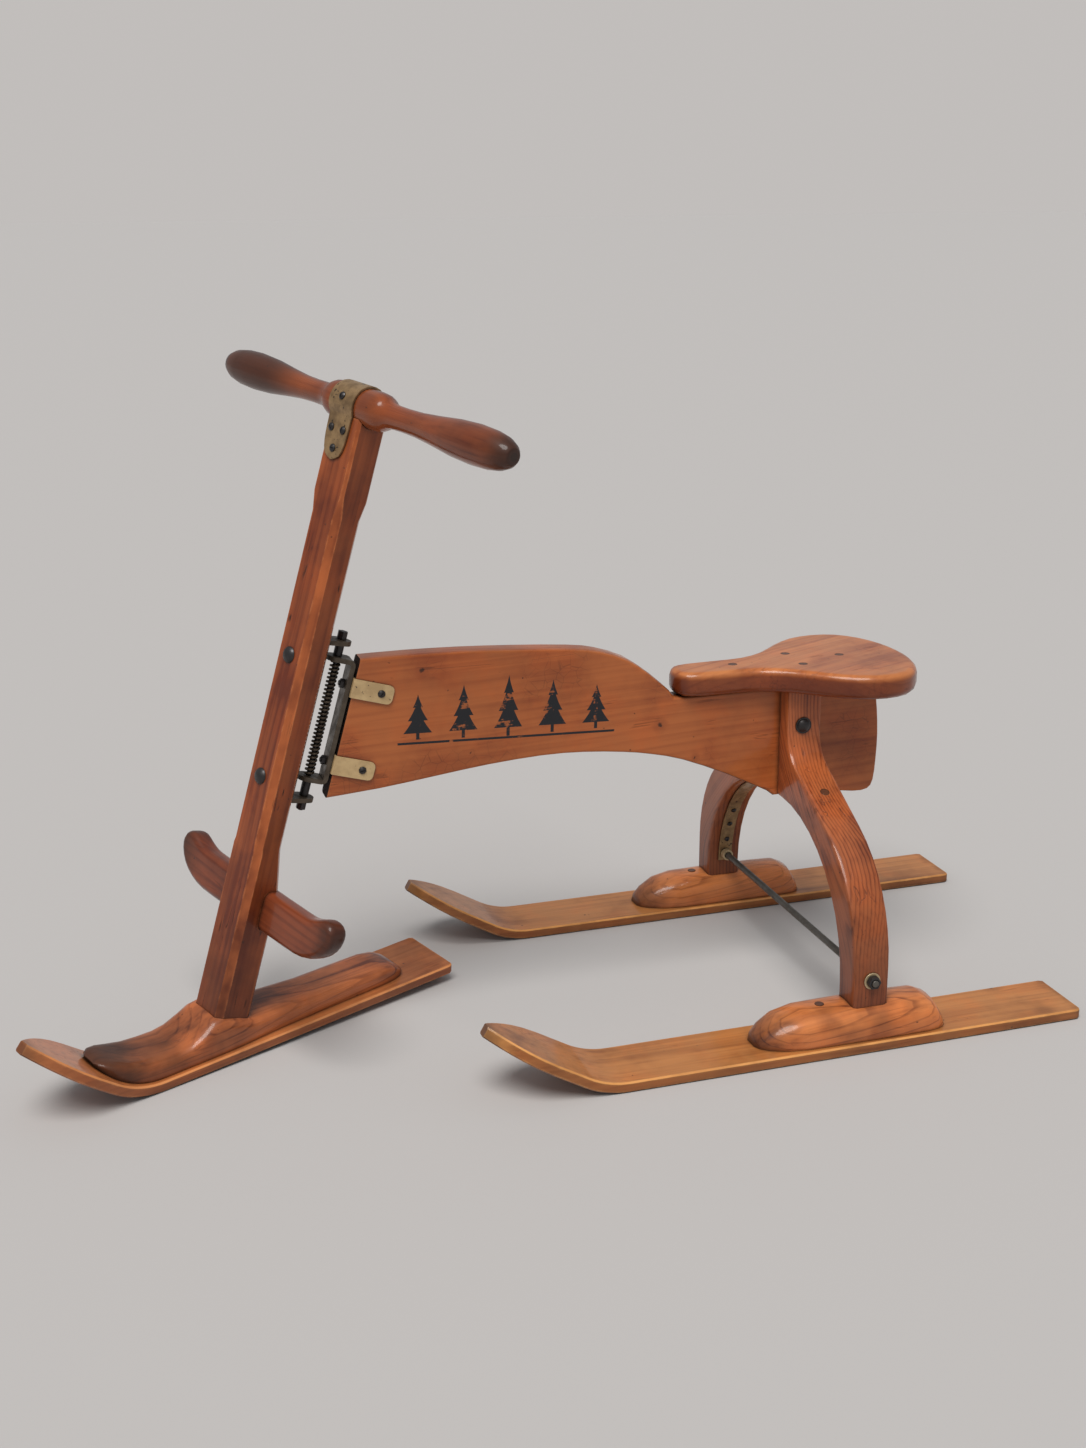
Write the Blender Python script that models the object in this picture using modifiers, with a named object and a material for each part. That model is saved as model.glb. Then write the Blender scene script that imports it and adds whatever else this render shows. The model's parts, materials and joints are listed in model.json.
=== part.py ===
"""Wooden snow tricycle: a beam on two arched legs with skis, steered by a third ski on a post.

Metres. +X is forward, +Y is the rider's left, +Z is up, and the origin is the middle of the
footprint on the floor. The steering stands turned to the left, as it was put down. Sizes along
the trike are measured from the point where the steering axis meets the floor. Pieces of the
hinge and the steering use the axis frame: s ahead of the axis, y to the left, u up along it.
"""
import math

import bmesh
import bpy
from mathutils import Matrix, Vector

# Fits
gap = 0.0003                     # between two pieces that touch
hole_clearance = 0.0004          # round a screw or bolt in its hole
past = 0.010                     # how far a blank or a cutter reaches past a finished face
cutter_reach = 0.060             # of the cutters for a sawn end or a mortise

# Stance
track = 0.400                    # between the centre lines of the rear skis
steering_lean = math.radians(15.9)
rest_steer = math.radians(26.0)  # how far the steering stands turned to the left
leg_x = -0.6435                  # centre of the legs, behind the foot of the steering axis

# Skis
ski_width = 0.080
ski_thickness = 0.012
ski_edge = 0.0016                # chamfer along the edges
tip_length = 0.074               # over which the tip narrows
tip_end_width = 0.012
tail_corner = 0.004
rear_ski_tail = 0.250            # from the legs back to the tail
right_tail_extra = 0.050         # the right ski was cut this much longer behind
right_ski_setback = 0.015        # and is mounted this much further back
rear_bend_start = 0.282          # from the legs forward to the start of the upturn
rear_bend_radius = 0.100
rear_bend_angle = math.radians(30.0)
rear_tip_rise = 0.112            # straight part of the tip, along the slope
front_ski_tail = 0.262           # from the foot of the axis back to the tail
front_bend_start = 0.119         # from the foot of the axis forward
front_bend_radius = 0.100
front_bend_angle = math.radians(38.0)
front_tip_rise = 0.100

# Rear blocks, carved like half loaves: ahead of the middle, half width, height over the ski
rear_block_sections = [
    (0.1310, 0.0090, 0.0040), (0.1270, 0.0160, 0.0110), (0.1180, 0.0230, 0.0190),
    (0.1010, 0.0300, 0.0290), (0.0770, 0.0335, 0.0340), (0.0300, 0.0340, 0.0350),
    (-0.0330, 0.0340, 0.0350), (-0.0640, 0.0336, 0.0340), (-0.0770, 0.0318, 0.0285),
    (-0.0840, 0.0285, 0.0175), (-0.0870, 0.0250, 0.0050)]
rear_block_squareness = 2.5
block_plug_forward = 0.052       # ahead of its middle
block_plug_depth = 0.012

# Legs
leg_depth = 0.043                # along the trike
leg_thickness = 0.036            # across the curve, at the foot
leg_top_thickness = 0.0200       # beside the beam
leg_foot_height = 0.020          # bottom of the foot, inside the block
arch_radius = 0.160
arch_facets = 10
shoulder_radius = 0.150
shoulder_slope = 28.0            # degrees
neck_radius = 0.040
leg_edge_round = 0.0055
leg_dowel_cover = 0.0106         # wood between the dowel's end and the arch
leg_dowel_share = 0.42           # place along the sloping face

# Seat
seat_height = 0.376
seat_thickness = 0.028
seat_length = 0.2830
seat_width = 0.202
seat_edge_round = 0.0085
seat_nose = 0.1490               # its front end, ahead of the legs
seat_outline_shares = [          # share of the length from the nose, share of the half width
    (0.000, 0.000), (0.021, 0.188), (0.090, 0.259), (0.222, 0.277), (0.333, 0.302),
    (0.437, 0.446), (0.541, 0.713), (0.648, 0.926), (0.763, 1.000), (0.870, 0.921),
    (0.946, 0.683), (0.988, 0.356), (1.000, 0.000)]
seat_plug_front = 0.0755         # plugs over the beam, ahead of the legs
seat_plug_rear = -0.0565

# Beam, one board on edge
beam_thickness = 0.027
beam_depth = 0.1294              # over the legs
beam_edge_round = 0.004
beam_chin = 0.015                # its front end, below the bracket and above it
beam_brow = 0.0035
beam_land_ahead = 0.0015         # start of the seat's land, ahead of the tip of the seat
beam_flat_margin = 0.004         # flat over the arch, ahead of the legs and behind them
beam_back = [                    # share of the way from hinge to seat, height over the land
    (0.141, 0.0743), (0.311, 0.0730), (0.487, 0.0697), (0.663, 0.0648), (0.752, 0.0595),
    (0.844, 0.0475), (0.919, 0.0290), (0.985, 0.0080)]
beam_belly = [                   # share of the way from hinge to legs, height over the arch
    (0.112, 0.059), (0.228, 0.066), (0.345, 0.073), (0.464, 0.077), (0.556, 0.076),
    (0.648, 0.071), (0.712, 0.065), (0.783, 0.055), (0.888, 0.032), (0.985, 0.0065)]
beam_tail = [                    # behind the legs, height over the arch
    (0.0465, -0.0015), (0.0765, -0.0062), (0.0945, -0.0050), (0.1020, 0.0060),
    (0.1045, 0.0320), (0.1052, 0.0620), (0.1030, 0.0920), (0.0995, 0.1170)]

# Hinge, along the steering axis
pin_radius = 0.0028
sleeve_radius = 0.0048
bracket_thickness = 0.005
bracket_bend = 0.0060
beam_bracket_width = 0.024
post_bracket_width = 0.022
bracket_back_clearance = 0.0138  # from the axis to the plate of the beam bracket
hinge_over_land = 0.01055        # its middle, over the underside of the seat
beam_bracket_height = 0.137
lower_sleeve = 0.018             # room for the sleeves between the ears
upper_sleeve = 0.013
pin_head_radius = 0.0055
pin_head_height = 0.0085
pin_nut_height = 0.0098
pin_tail = 0.0012                # thread below the nut
clip_thickness = 0.0023
clip_height = 0.0205
clip_length = 0.0430             # of the side plates, from the beam's end
clip_corner = 0.0055
clip_low_inset = 0.024           # middles of the clips, from the ends of the bracket
clip_high_inset = 0.028
clip_screw_back = 0.0300         # from the beam's end
clip_stud_depth = 0.030          # in the end grain of the beam
clip_stud_tail = 0.0016          # past the nut
clip_nut_height = 0.0042
clip_nut_radius = 0.0052

# Spring round the pin, between the ears of the beam bracket
spring_wire = 0.00125            # radius of the wire
spring_radius = 0.00430          # of the centre line
spring_curls = 28
points_per_curl = 9

# Post, in the axis frame
post_rear = 0.0275
post_front = 0.0618
post_half_width = 0.0233
foot_rear = 0.0170
foot_half_width = 0.0245
head_rear = 0.0275
head_front = 0.0622
head_half_width = 0.0240
post_bottom = 0.0240
foot_taper_low = 0.178
foot_taper_high = 0.234
foot_step = 0.006
head_length = 0.080
head_taper = 0.020
post_edge = 0.0066               # flat chamfers, smaller at the head
head_edge = 0.0030
carriage_low_inset = 0.026       # from the ends of the post bracket
carriage_high_inset = 0.021
carriage_head_radius = 0.0088
carriage_bolt_radius = 0.0028
carriage_nut_height = 0.0046
carriage_nut_radius = 0.0056
carriage_tail = 0.0018           # past the nut

# Handlebar, turned in one piece: distance from the middle, radius
bar_s = 0.0465
bar_u = 0.6980
saddle_depth = 0.0120            # how far the post's top is below the middle of the handlebar
bead_radius = 0.0195
bead_half_length = 0.030
bar_half_profile = [
    (0.2300, 0.0064), (0.2285, 0.0088), (0.2245, 0.0122), (0.2150, 0.0162), (0.2000, 0.0187),
    (0.1780, 0.0196), (0.1500, 0.0182), (0.1200, 0.0148), (0.0950, 0.0125), (0.0750, 0.0119),
    (0.0580, 0.0121), (0.0490, 0.0131), (0.0440, 0.0162), (0.0380, 0.0186)]

# Clamp strap over the handlebar: half width, height over the handlebar's axis
strap_thickness = 0.0020
strap_shift = -0.0050            # it sits a little to the right
strap_half_outline = [
    (0.0190, 0.0300), (0.0190, -0.0040), (0.0174, -0.0140), (0.0171, -0.0270),
    (0.0158, -0.0410), (0.0112, -0.0530), (0.0000, -0.0580)]
strap_pair_height = -0.0270      # two screws side by side, and one below them
strap_pair_spread = 0.0095
strap_low_screw_height = -0.0465
strap_facet = 15.0               # degrees of the bead per flat
strap_rear_bend = 0.0040         # below the post's top

# Footrest bar, let into the back of the post: from the middle out, height over the underside
footrest_depth = 0.0240
footrest_front = 0.0390
footrest_u = 0.1430
footrest_height = 0.0435
footrest_edge_round = 0.0075
footrest_straight = 0.0500       # half the length of its straight middle
footrest_half_outline = [
    (0.0860, 0.0005), (0.1080, 0.0050), (0.1265, 0.0155), (0.1370, 0.0300), (0.1385, 0.0430),
    (0.1320, 0.0515), (0.1200, 0.0530), (0.1080, 0.0485), (0.0950, 0.0445), (0.0800, 0.0435)]

# Front block: ahead of the axis foot, half width, height over the ski
front_block_sections = [
    (0.1850, 0.0100, 0.0028), (0.1820, 0.0170, 0.0074), (0.1760, 0.0240, 0.0130),
    (0.1660, 0.0290, 0.0179), (0.1520, 0.0322, 0.0201), (0.1340, 0.0338, 0.0202),
    (0.1150, 0.0342, 0.0195), (0.0970, 0.0342, 0.0188), (0.0820, 0.0342, 0.0215),
    (0.0660, 0.0342, 0.0295), (0.0530, 0.0342, 0.0375), (0.0410, 0.0340, 0.0395),
    (0.0220, 0.0334, 0.0330), (0.0040, 0.0322, 0.0250), (-0.0290, 0.0300, 0.0245),
    (-0.0810, 0.0284, 0.0205), (-0.1680, 0.0276, 0.0198), (-0.1860, 0.0262, 0.0170),
    (-0.1980, 0.0225, 0.0110), (-0.2050, 0.0150, 0.0045)]
front_block_squareness = 4.2

# Fasteners
screw_radius = 0.0014
screw_head_radius = 0.0042
screw_length = 0.012
plug_radius = 0.0050
plug_depth = 0.0060
leg_bolt_forward = 0.002         # ahead of the middle of the legs
leg_bolt_radius = 0.0038
leg_bolt_drop = 0.0407           # below the underside of the seat
leg_bolt_head_radius = 0.0078
washer_radius = 0.0095
washer_thickness = 0.0016
washer_overhang = 0.0020         # of the lower edge, past the flat of the leg
leg_nut_height = 0.0060
leg_nut_radius = 0.0075
bolt_tail = 0.0015               # past a nut
rod_radius = 0.0040
rod_height = 0.074
collar_radius = 0.0068
collar_height = 0.0085
arch_strap_thickness = 0.0025
arch_strap_width = 0.0175
arch_strap_end = 0.0095          # below the tie rod


# Values that follow from the sizes

half_track = track / 2
half_beam = beam_thickness / 2
beam_land = seat_height - seat_thickness - gap
seat_front = leg_x + seat_nose
arch_height = beam_land - beam_depth - gap
leg_bolt_height = beam_land - leg_bolt_drop
right_ski_x = leg_x - right_ski_setback
hinge_u = (beam_land + hinge_over_land) / math.cos(steering_lean)
beam_ear_low = hinge_u - beam_bracket_height / 2
beam_ear_high = hinge_u + beam_bracket_height / 2
post_ear_low = beam_ear_low - lower_sleeve - bracket_thickness
post_ear_high = beam_ear_high + upper_sleeve + bracket_thickness
beam_end_low = beam_ear_low - beam_chin
beam_end_high = beam_ear_high + beam_brow
clip_low = beam_ear_low + clip_low_inset
clip_high = beam_ear_high - clip_high_inset
carriage_low = post_ear_low + carriage_low_inset
carriage_high = post_ear_high - carriage_high_inset
post_top = bar_u - saddle_depth
head_taper_high = post_top - head_length
head_taper_low = head_taper_high - head_taper
clip_front = -(bracket_back_clearance + bracket_thickness + gap)
beam_end = clip_front - clip_thickness - gap
leg_web_inner = half_beam + gap
leg_web_outer = leg_web_inner + leg_top_thickness
leg_inner = half_track - leg_thickness / 2
leg_outer = half_track + leg_thickness / 2
arch_centre = (leg_inner - arch_radius, arch_height - arch_radius)
ski_top = ski_thickness + gap


def level(s, u):
    """Axis-frame s and u as level x and z, with the steering straight ahead."""
    lean = steering_lean
    return (s * math.cos(lean) - u * math.sin(lean), s * math.sin(lean) + u * math.cos(lean))


def front_sole_height():
    """Height of the front sole at the axis foot, so that the turned ski's low edge is at 0."""
    turned_away = 1 - math.cos(rest_steer)
    sideways = math.sin(steering_lean) * math.sin(rest_steer)
    forward = math.sin(steering_lean) * math.cos(steering_lean) * turned_away
    upright = math.cos(rest_steer) + math.cos(steering_lean) ** 2 * turned_away
    return (front_bend_start * forward + (ski_width / 2 - ski_edge) * sideways) / upright


front_sole = front_sole_height()


# Scene, collections and materials

for item in list(bpy.data.objects):
    bpy.data.objects.remove(item, do_unlink=True)

parts = bpy.data.collections.new("snow_tricycle")
cutters = bpy.data.collections.new("cutters")
bpy.context.scene.collection.children.link(parts)
bpy.context.scene.collection.children.link(cutters)


def material(name, colour, roughness, metallic=0.0):
    surface = bpy.data.materials.new(name)
    surface.use_nodes = True
    shader = surface.node_tree.nodes["Principled BSDF"]
    shader.inputs["Base Color"].default_value = (*colour, 1.0)
    shader.inputs["Roughness"].default_value = roughness
    shader.inputs["Metallic"].default_value = metallic
    surface.diffuse_color = (*colour, 1.0)
    return surface


orange_pine = material("orange_pine", (0.46, 0.17, 0.05), 0.35)
red_pine = material("red_pine", (0.33, 0.09, 0.03), 0.35)
golden_pine = material("golden_pine", (0.36, 0.16, 0.05), 0.40)
plug_wood = material("plug_wood", (0.22, 0.09, 0.04), 0.50)
brass = material("brass", (0.42, 0.33, 0.17), 0.42, 0.9)
cream_paint = material("cream_paint", (0.56, 0.43, 0.22), 0.50, 0.2)
grey_steel = material("grey_steel", (0.17, 0.16, 0.14), 0.45, 0.8)
black_steel = material("black_steel", (0.03, 0.03, 0.03), 0.40, 0.7)
worn_steel = material("worn_steel", (0.30, 0.25, 0.18), 0.45, 0.8)


# Modelling helpers

def frame(name, parent=None, rotation=(0, 0, 0)):
    empty = bpy.data.objects.new(name, None)
    empty.empty_display_size = 0.05
    empty.parent = parent
    empty.rotation_euler = rotation
    parts.objects.link(empty)
    return empty


def add(name, mesh, parent, surface, location=(0, 0, 0), rotation=(0, 0, 0)):
    """A finished piece: its own object, in the frame of the empty that carries it."""
    mesh.name = name
    mesh.materials.clear()
    mesh.materials.append(surface)
    obj = bpy.data.objects.new(name, mesh)
    obj.parent = parent
    obj.location = location
    obj.rotation_euler = rotation
    parts.objects.link(obj)
    return obj


def add_placed(name, mesh, parent, surface, place):
    """A piece made round Z, set in its place by a matrix in the frame that carries it."""
    obj = add(name, mesh, parent, surface)
    obj.matrix_local = place
    return obj


def add_cutter(name, mesh, parent, location=(0, 0, 0), rotation=(0, 0, 0)):
    obj = bpy.data.objects.new(name, mesh)
    obj.parent = parent
    obj.location = location
    obj.rotation_euler = rotation
    obj.hide_render = True
    obj.display_type = "WIRE"
    cutters.objects.link(obj)
    return obj


def boolean(obj, tool, operation="DIFFERENCE"):
    cut = obj.modifiers.new(tool.name, "BOOLEAN")
    cut.operation = operation
    cut.solver = "EXACT"
    cut.object = tool


def rounded(obj, width, segments=2, angle=50.0):
    bevel = obj.modifiers.new("rounded_edges", "BEVEL")
    bevel.width = width
    bevel.segments = segments
    bevel.limit_method = "ANGLE"
    bevel.angle_limit = math.radians(angle)


def smooth(mesh, angle=35.0):
    mesh.shade_smooth()
    mesh.set_sharp_from_angle(angle=math.radians(angle))
    return mesh


def loose(data):
    """An object for a mesh or curve on its way to a finished piece."""
    obj = bpy.data.objects.new("blank", data)
    bpy.context.scene.collection.objects.link(obj)
    return obj


def evaluated(obj):
    """The object's mesh with its modifiers done. The object itself is removed."""
    depsgraph = bpy.context.evaluated_depsgraph_get()
    mesh = bpy.data.meshes.new_from_object(obj.evaluated_get(depsgraph))
    bpy.data.objects.remove(obj, do_unlink=True)
    return mesh


def welded(mesh, whole_faces=False):
    """Merges doubled points and, where asked, makes each flat side one face."""
    shape = bmesh.new()
    shape.from_mesh(mesh)
    bmesh.ops.remove_doubles(shape, verts=shape.verts, dist=0.00001)
    if whole_faces:
        bmesh.ops.dissolve_limit(shape, angle_limit=math.radians(0.1), verts=shape.verts,
                                 edges=shape.edges)
    bmesh.ops.recalc_face_normals(shape, faces=shape.faces)
    shape.to_mesh(mesh)
    shape.free()
    return mesh


def sheet(loops, thickness, middle=0.0):
    """A board or plate: a flat outline with any holes, filled, and given its thickness."""
    curve = bpy.data.curves.new("outline", "CURVE")
    curve.dimensions = "2D"
    curve.fill_mode = "BOTH"
    curve.extrude = thickness / 2
    for loop in loops:
        spline = curve.splines.new("POLY")
        spline.points.add(len(loop) - 1)
        for point, (x, y) in zip(spline.points, loop):
            point.co = (x, y, 0.0, 1.0)
        spline.use_cyclic_u = True
    mesh = welded(evaluated(loose(curve)), whole_faces=True)
    mesh.transform(Matrix.Translation((0, 0, middle)))
    return mesh


def through(points, steps, closed=False):
    """A smooth run through the points, with this many steps between each two."""
    if closed:
        padded = [points[-1]] + list(points) + list(points[:2])
    else:
        padded = [points[0]] + list(points) + [points[-1]]
    run = []
    for before, start, end, after in zip(padded, padded[1:], padded[2:], padded[3:]):
        for step in range(steps):
            t = step / steps
            run.append(tuple(
                0.5 * (2 * b + (c - a) * t + (2 * a - 5 * b + 4 * c - d) * t ** 2
                       + (3 * b - a - 3 * c + d) * t ** 3)
                for a, b, c, d in zip(before, start, end, after)))
    if not closed:
        run.append(tuple(points[-1]))
    return run


def arc(centre, radius, start, end, steps):
    """Points on an arc, angles in degrees."""
    points = []
    for step in range(steps + 1):
        angle = math.radians(start + (end - start) * step / steps)
        points.append((centre[0] + radius * math.cos(angle), centre[1] + radius * math.sin(angle)))
    return points


def circle(radius, steps=12):
    return arc((0, 0), radius, 0, 360, steps)[:-1]


def rectangle(left, right, low, high, corner=0.0, steps=2):
    """An outline with square or rounded corners."""
    if not corner:
        return [(left, low), (right, low), (right, high), (left, high)]
    return (arc((right - corner, high - corner), corner, 0, 90, steps)
            + arc((left + corner, high - corner), corner, 90, 180, steps)
            + arc((left + corner, low + corner), corner, 180, 270, steps)
            + arc((right - corner, low + corner), corner, 270, 360, steps))


def turned(profile, steps=12):
    """A lathe-turned solid round Z: radius and height, down the outer side."""
    mesh = bpy.data.meshes.new("profile")
    edges = [(index, index + 1) for index in range(len(profile) - 1)]
    mesh.from_pydata([(radius, 0, height) for radius, height in profile], edges, [])
    obj = loose(mesh)
    screw = obj.modifiers.new("turned", "SCREW")
    screw.steps = steps
    screw.render_steps = steps
    screw.use_merge_vertices = True
    screw.merge_threshold = 0.00001
    return smooth(welded(evaluated(obj)))


def rod(radius, low, high, steps=12):
    return turned([(0, high), (radius, high), (radius, low), (0, low)], steps)


def hexagon(radius, low, high):
    return sheet([circle(radius, 6)], high - low, (low + high) / 2)


def hex_nut(radius, bore, low, high):
    return sheet([circle(radius, 6), circle(bore)], high - low, (low + high) / 2)


def washer(outer, bore, low, high):
    return smooth(sheet([circle(outer, 16), circle(bore)], high - low, (low + high) / 2))


def domed_bolt(head_radius, radius, length):
    """A bolt with a shallow round head on z = 0 and its shank below."""
    rise = head_radius * 0.5
    return turned([(0, rise), (head_radius * 0.5, rise * 0.85), (head_radius * 0.88, rise * 0.45),
                   (head_radius, 0), (radius, 0), (radius, -length), (0, -length)], 12)


def round_screw():
    """A wood screw pointing down, its domed head on z = 0."""
    head = screw_head_radius
    rise = head * 0.6
    return turned([(0, rise), (head * 0.6, rise * 0.8), (head, rise * 0.2), (head, 0),
                   (screw_radius, 0), (screw_radius, 2 * screw_radius - screw_length),
                   (0, -screw_length)], 8)


def along(axis, at):
    """The place of a piece made round Z whose Z is to point along the axis from a point."""
    turn = Vector((0, 0, 1)).rotation_difference(Vector(axis)).to_matrix().to_4x4()
    return Matrix.Translation(at) @ turn


def copies(mesh, places):
    """One mesh that holds a copy in each place, for cutting a set of holes."""
    shape = bmesh.new()
    for place in places:
        copy = mesh.copy()
        copy.transform(place)
        shape.from_mesh(copy)
        bpy.data.meshes.remove(copy)
    result = bpy.data.meshes.new("copies")
    shape.to_mesh(result)
    shape.free()
    return result


def combined(first, second, operation):
    """One closed body from two overlapping ones."""
    base = loose(first)
    tool = loose(second)
    boolean(base, tool, operation)
    result = evaluated(base)
    bpy.data.objects.remove(tool, do_unlink=True)
    return smooth(result)


def loft(rings):
    """A closed solid through rings of equally many points, with flat ends."""
    shape = bmesh.new()
    rows = [[shape.verts.new(point) for point in ring] for ring in rings]
    count = len(rows[0])
    for first, second in zip(rows, rows[1:]):
        for index in range(count):
            following = (index + 1) % count
            shape.faces.new((first[index], first[following], second[following], second[index]))
    shape.faces.new(rows[0])
    shape.faces.new(rows[-1])
    bmesh.ops.recalc_face_normals(shape, faces=shape.faces)
    mesh = bpy.data.meshes.new("loft")
    shape.to_mesh(mesh)
    shape.free()
    return smooth(mesh)


def carved_section(x, half_width, base, top, squareness, steps=12):
    """A section across a block: flat underneath and rounded over the top."""
    ring = []
    for step in range(steps + 1):
        angle = math.pi * step / steps
        across = math.copysign(abs(math.cos(angle)) ** (2 / squareness), math.cos(angle))
        rise = math.sin(angle) ** (2 / squareness) if 0 < step < steps else 0.0
        ring.append((x, half_width * across, base + (top - base) * rise))
    return ring


# Frames: the hinge leans back, and the steering turns on it

origin = frame("tricycle_origin")
hinge = frame("hinge_frame", origin, (0, -steering_lean, 0))
steering = frame("steering_axis", hinge, (0, 0, rest_steer))
front_level = frame("front_ski_frame", steering, (0, steering_lean, 0))

# Flat outlines are stood up with x forward and y up, or with x to the left and y up
stand_along = (math.pi / 2, 0, 0)
stand_across = (math.pi / 2, 0, math.pi / 2)
stand_across_right = (math.pi / 2, 0, -math.pi / 2)

up = (0, 0, 1)
leftward = (0, 1, 0)
rightward = (0, -1, 0)
ahead = (1, 0, 0)
behind = (-1, 0, 0)


# Beam

def beam_outline():
    end_high = level(beam_end, beam_end_high)
    end_low = level(beam_end, beam_end_low)
    overlong_high = (end_high[0] + past, end_high[1])
    overlong_low = (end_low[0] + past, end_low[1])
    land_front = seat_front + beam_land_ahead
    leg_front = leg_x + leg_depth / 2 + beam_flat_margin
    leg_rear = leg_x - leg_depth / 2 - beam_flat_margin
    crown = arch_height + gap
    back = [(end_high[0] + (land_front - end_high[0]) * share, beam_land + rise)
            for share, rise in beam_back]
    belly = [(end_low[0] + (leg_front - end_low[0]) * share, arch_height + rise)
             for share, rise in beam_belly]
    tail = [(leg_x - reach, arch_height + rise) for reach, rise in beam_tail]
    return (through([overlong_high] + back, 2)
            + [(land_front, beam_land), (tail[-1][0], beam_land)] + through(tail, 2)[::-1]
            + [(leg_rear, crown), (leg_front, crown)] + through(belly[::-1] + [overlong_low], 2))


beam = add("beam", smooth(sheet([beam_outline()], beam_thickness)), origin, orange_pine,
           rotation=stand_along)
rounded(beam, beam_edge_round)
beam_sawn_end = add_cutter("beam_sawn_end", sheet([rectangle(
    beam_end, beam_end + cutter_reach, beam_end_low - cutter_reach,
    beam_end_high + cutter_reach)], beam_thickness + 2 * past), hinge, rotation=stand_along)
boolean(beam, beam_sawn_end)


# Legs, sawn from curved boards, each with a web that bears on the beam's side

def leg_face():
    """The outer side of a leg: the run from the beam's side to the slope, and the shoulder."""
    lean = 90 - shoulder_slope
    slope = math.radians(shoulder_slope)
    neck = (leg_web_outer + neck_radius, leg_bolt_height - washer_radius + washer_overhang)
    neck_run = arc(neck, neck_radius, 180, 180 + lean, 5)
    slope_start = neck_run[-1]
    shoulder_y = leg_outer - shoulder_radius
    slope_end_y = shoulder_y + shoulder_radius * math.sin(slope)
    slope_end_z = slope_start[1] - (slope_end_y - slope_start[0]) * math.tan(slope)
    shoulder = (shoulder_y, slope_end_z - shoulder_radius * math.cos(slope))
    return neck_run, arc(shoulder, shoulder_radius, lean, 0, 8)


def leg_outline():
    neck_run, shoulder_run = leg_face()
    inside = leg_web_inner - past
    top = beam_land + past
    return ([(leg_inner, leg_foot_height)] + arc(arch_centre, arch_radius, 0, 90, arch_facets)
            + [(inside, arch_height), (inside, top), (leg_web_outer, top)]
            + neck_run + shoulder_run + [(leg_outer, leg_foot_height)])


left_leg = add("left_leg", smooth(sheet([leg_outline()], leg_depth)), origin, red_pine,
               (leg_x, 0, 0), stand_across)
right_leg = add("right_leg", left_leg.data.copy(), origin, red_pine,
                (leg_x, 0, 0), stand_across_right)
beam_side_trim = add_cutter("beam_side_trim", sheet([rectangle(
    -leg_web_inner, leg_web_inner, arch_height - 2 * past, beam_land + 2 * past)],
    leg_depth + 2 * past), origin, (leg_x, 0, 0), stand_across)
leg_top_trim = add_cutter("leg_top_trim", sheet([rectangle(
    -leg_outer, leg_outer, beam_land, beam_land + 2 * past)], leg_depth + 2 * past), origin,
    (leg_x, 0, 0), stand_across)


# Dowels in the sloping faces of the legs, flush with the wood

neck_run, shoulder_run = leg_face()
leg_dowel_spot = Vector(neck_run[-1]).lerp(Vector(shoulder_run[0]), leg_dowel_share)
leg_dowel_depth = (leg_dowel_spot - Vector(arch_centre)).length - arch_radius - leg_dowel_cover


def leg_dowel_place(side):
    slope = math.radians(shoulder_slope)
    return along((0, side * math.sin(slope), math.cos(slope)),
                 (leg_x, side * leg_dowel_spot.x, leg_dowel_spot.y))


leg_dowel = rod(plug_radius, -leg_dowel_depth, 0)
add_placed("left_leg_dowel", leg_dowel, origin, plug_wood, leg_dowel_place(1))
add_placed("right_leg_dowel", leg_dowel.copy(), origin, plug_wood, leg_dowel_place(-1))
leg_dowel_holes = add_cutter("leg_dowel_holes", copies(
    rod(plug_radius + gap, -leg_dowel_depth - gap, past),
    [leg_dowel_place(1), leg_dowel_place(-1)]), origin)
for leg in (left_leg, right_leg):
    rounded(leg, leg_edge_round)
    boolean(leg, leg_dowel_holes)
    boolean(leg, beam_side_trim)
    boolean(leg, leg_top_trim)


# Seat, screwed down to the beam and the legs, with plugs over the screws

seat_side = [(-seat_length * share, seat_width / 2 * half) for share, half in seat_outline_shares]
seat = add("seat", smooth(sheet([through(
    seat_side + [(x, -y) for x, y in seat_side[-2:0:-1]], 2, closed=True)],
    seat_thickness, seat_height - seat_thickness / 2)), origin, orange_pine, (seat_front, 0, 0))
rounded(seat, seat_edge_round, 3)

leg_web_middle = (leg_web_inner + leg_web_outer) / 2
seat_plug_places = {
    "front_seat_plug": along(up, (leg_x + seat_plug_front, 0, seat_height)),
    "rear_seat_plug": along(up, (leg_x + seat_plug_rear, 0, seat_height)),
    "left_seat_plug": along(up, (leg_x, leg_web_middle, seat_height)),
    "right_seat_plug": along(up, (leg_x, -leg_web_middle, seat_height))}
for name, place in seat_plug_places.items():
    add_placed(name, rod(plug_radius, -plug_depth, 0), origin, plug_wood, place)
seat_plug_holes = add_cutter("seat_plug_holes", copies(
    rod(plug_radius + gap, -plug_depth - gap, past), seat_plug_places.values()), origin)
boolean(seat, seat_plug_holes)


# Bolt through the legs and the beam

leg_bolt_x = leg_x + leg_bolt_forward
washer_seat = leg_web_outer + gap
left_bolt_place = along(leftward, (leg_bolt_x, washer_seat, leg_bolt_height))
right_bolt_place = along(rightward, (leg_bolt_x, -washer_seat, leg_bolt_height))
head_seat = Matrix.Translation((0, 0, washer_thickness + gap))
leg_bolt_length = 2 * (washer_seat + washer_thickness + gap) + leg_nut_height + bolt_tail
leg_bolt_bore = leg_bolt_radius + hole_clearance
add_placed("leg_bolt", domed_bolt(leg_bolt_head_radius, leg_bolt_radius, leg_bolt_length),
           origin, black_steel, left_bolt_place @ head_seat)
add_placed("leg_bolt_nut", hex_nut(leg_nut_radius, leg_bolt_bore, 0, leg_nut_height),
           origin, black_steel, right_bolt_place @ head_seat)
add_placed("left_leg_washer", washer(washer_radius, leg_bolt_bore, 0, washer_thickness),
           origin, grey_steel, left_bolt_place)
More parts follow.
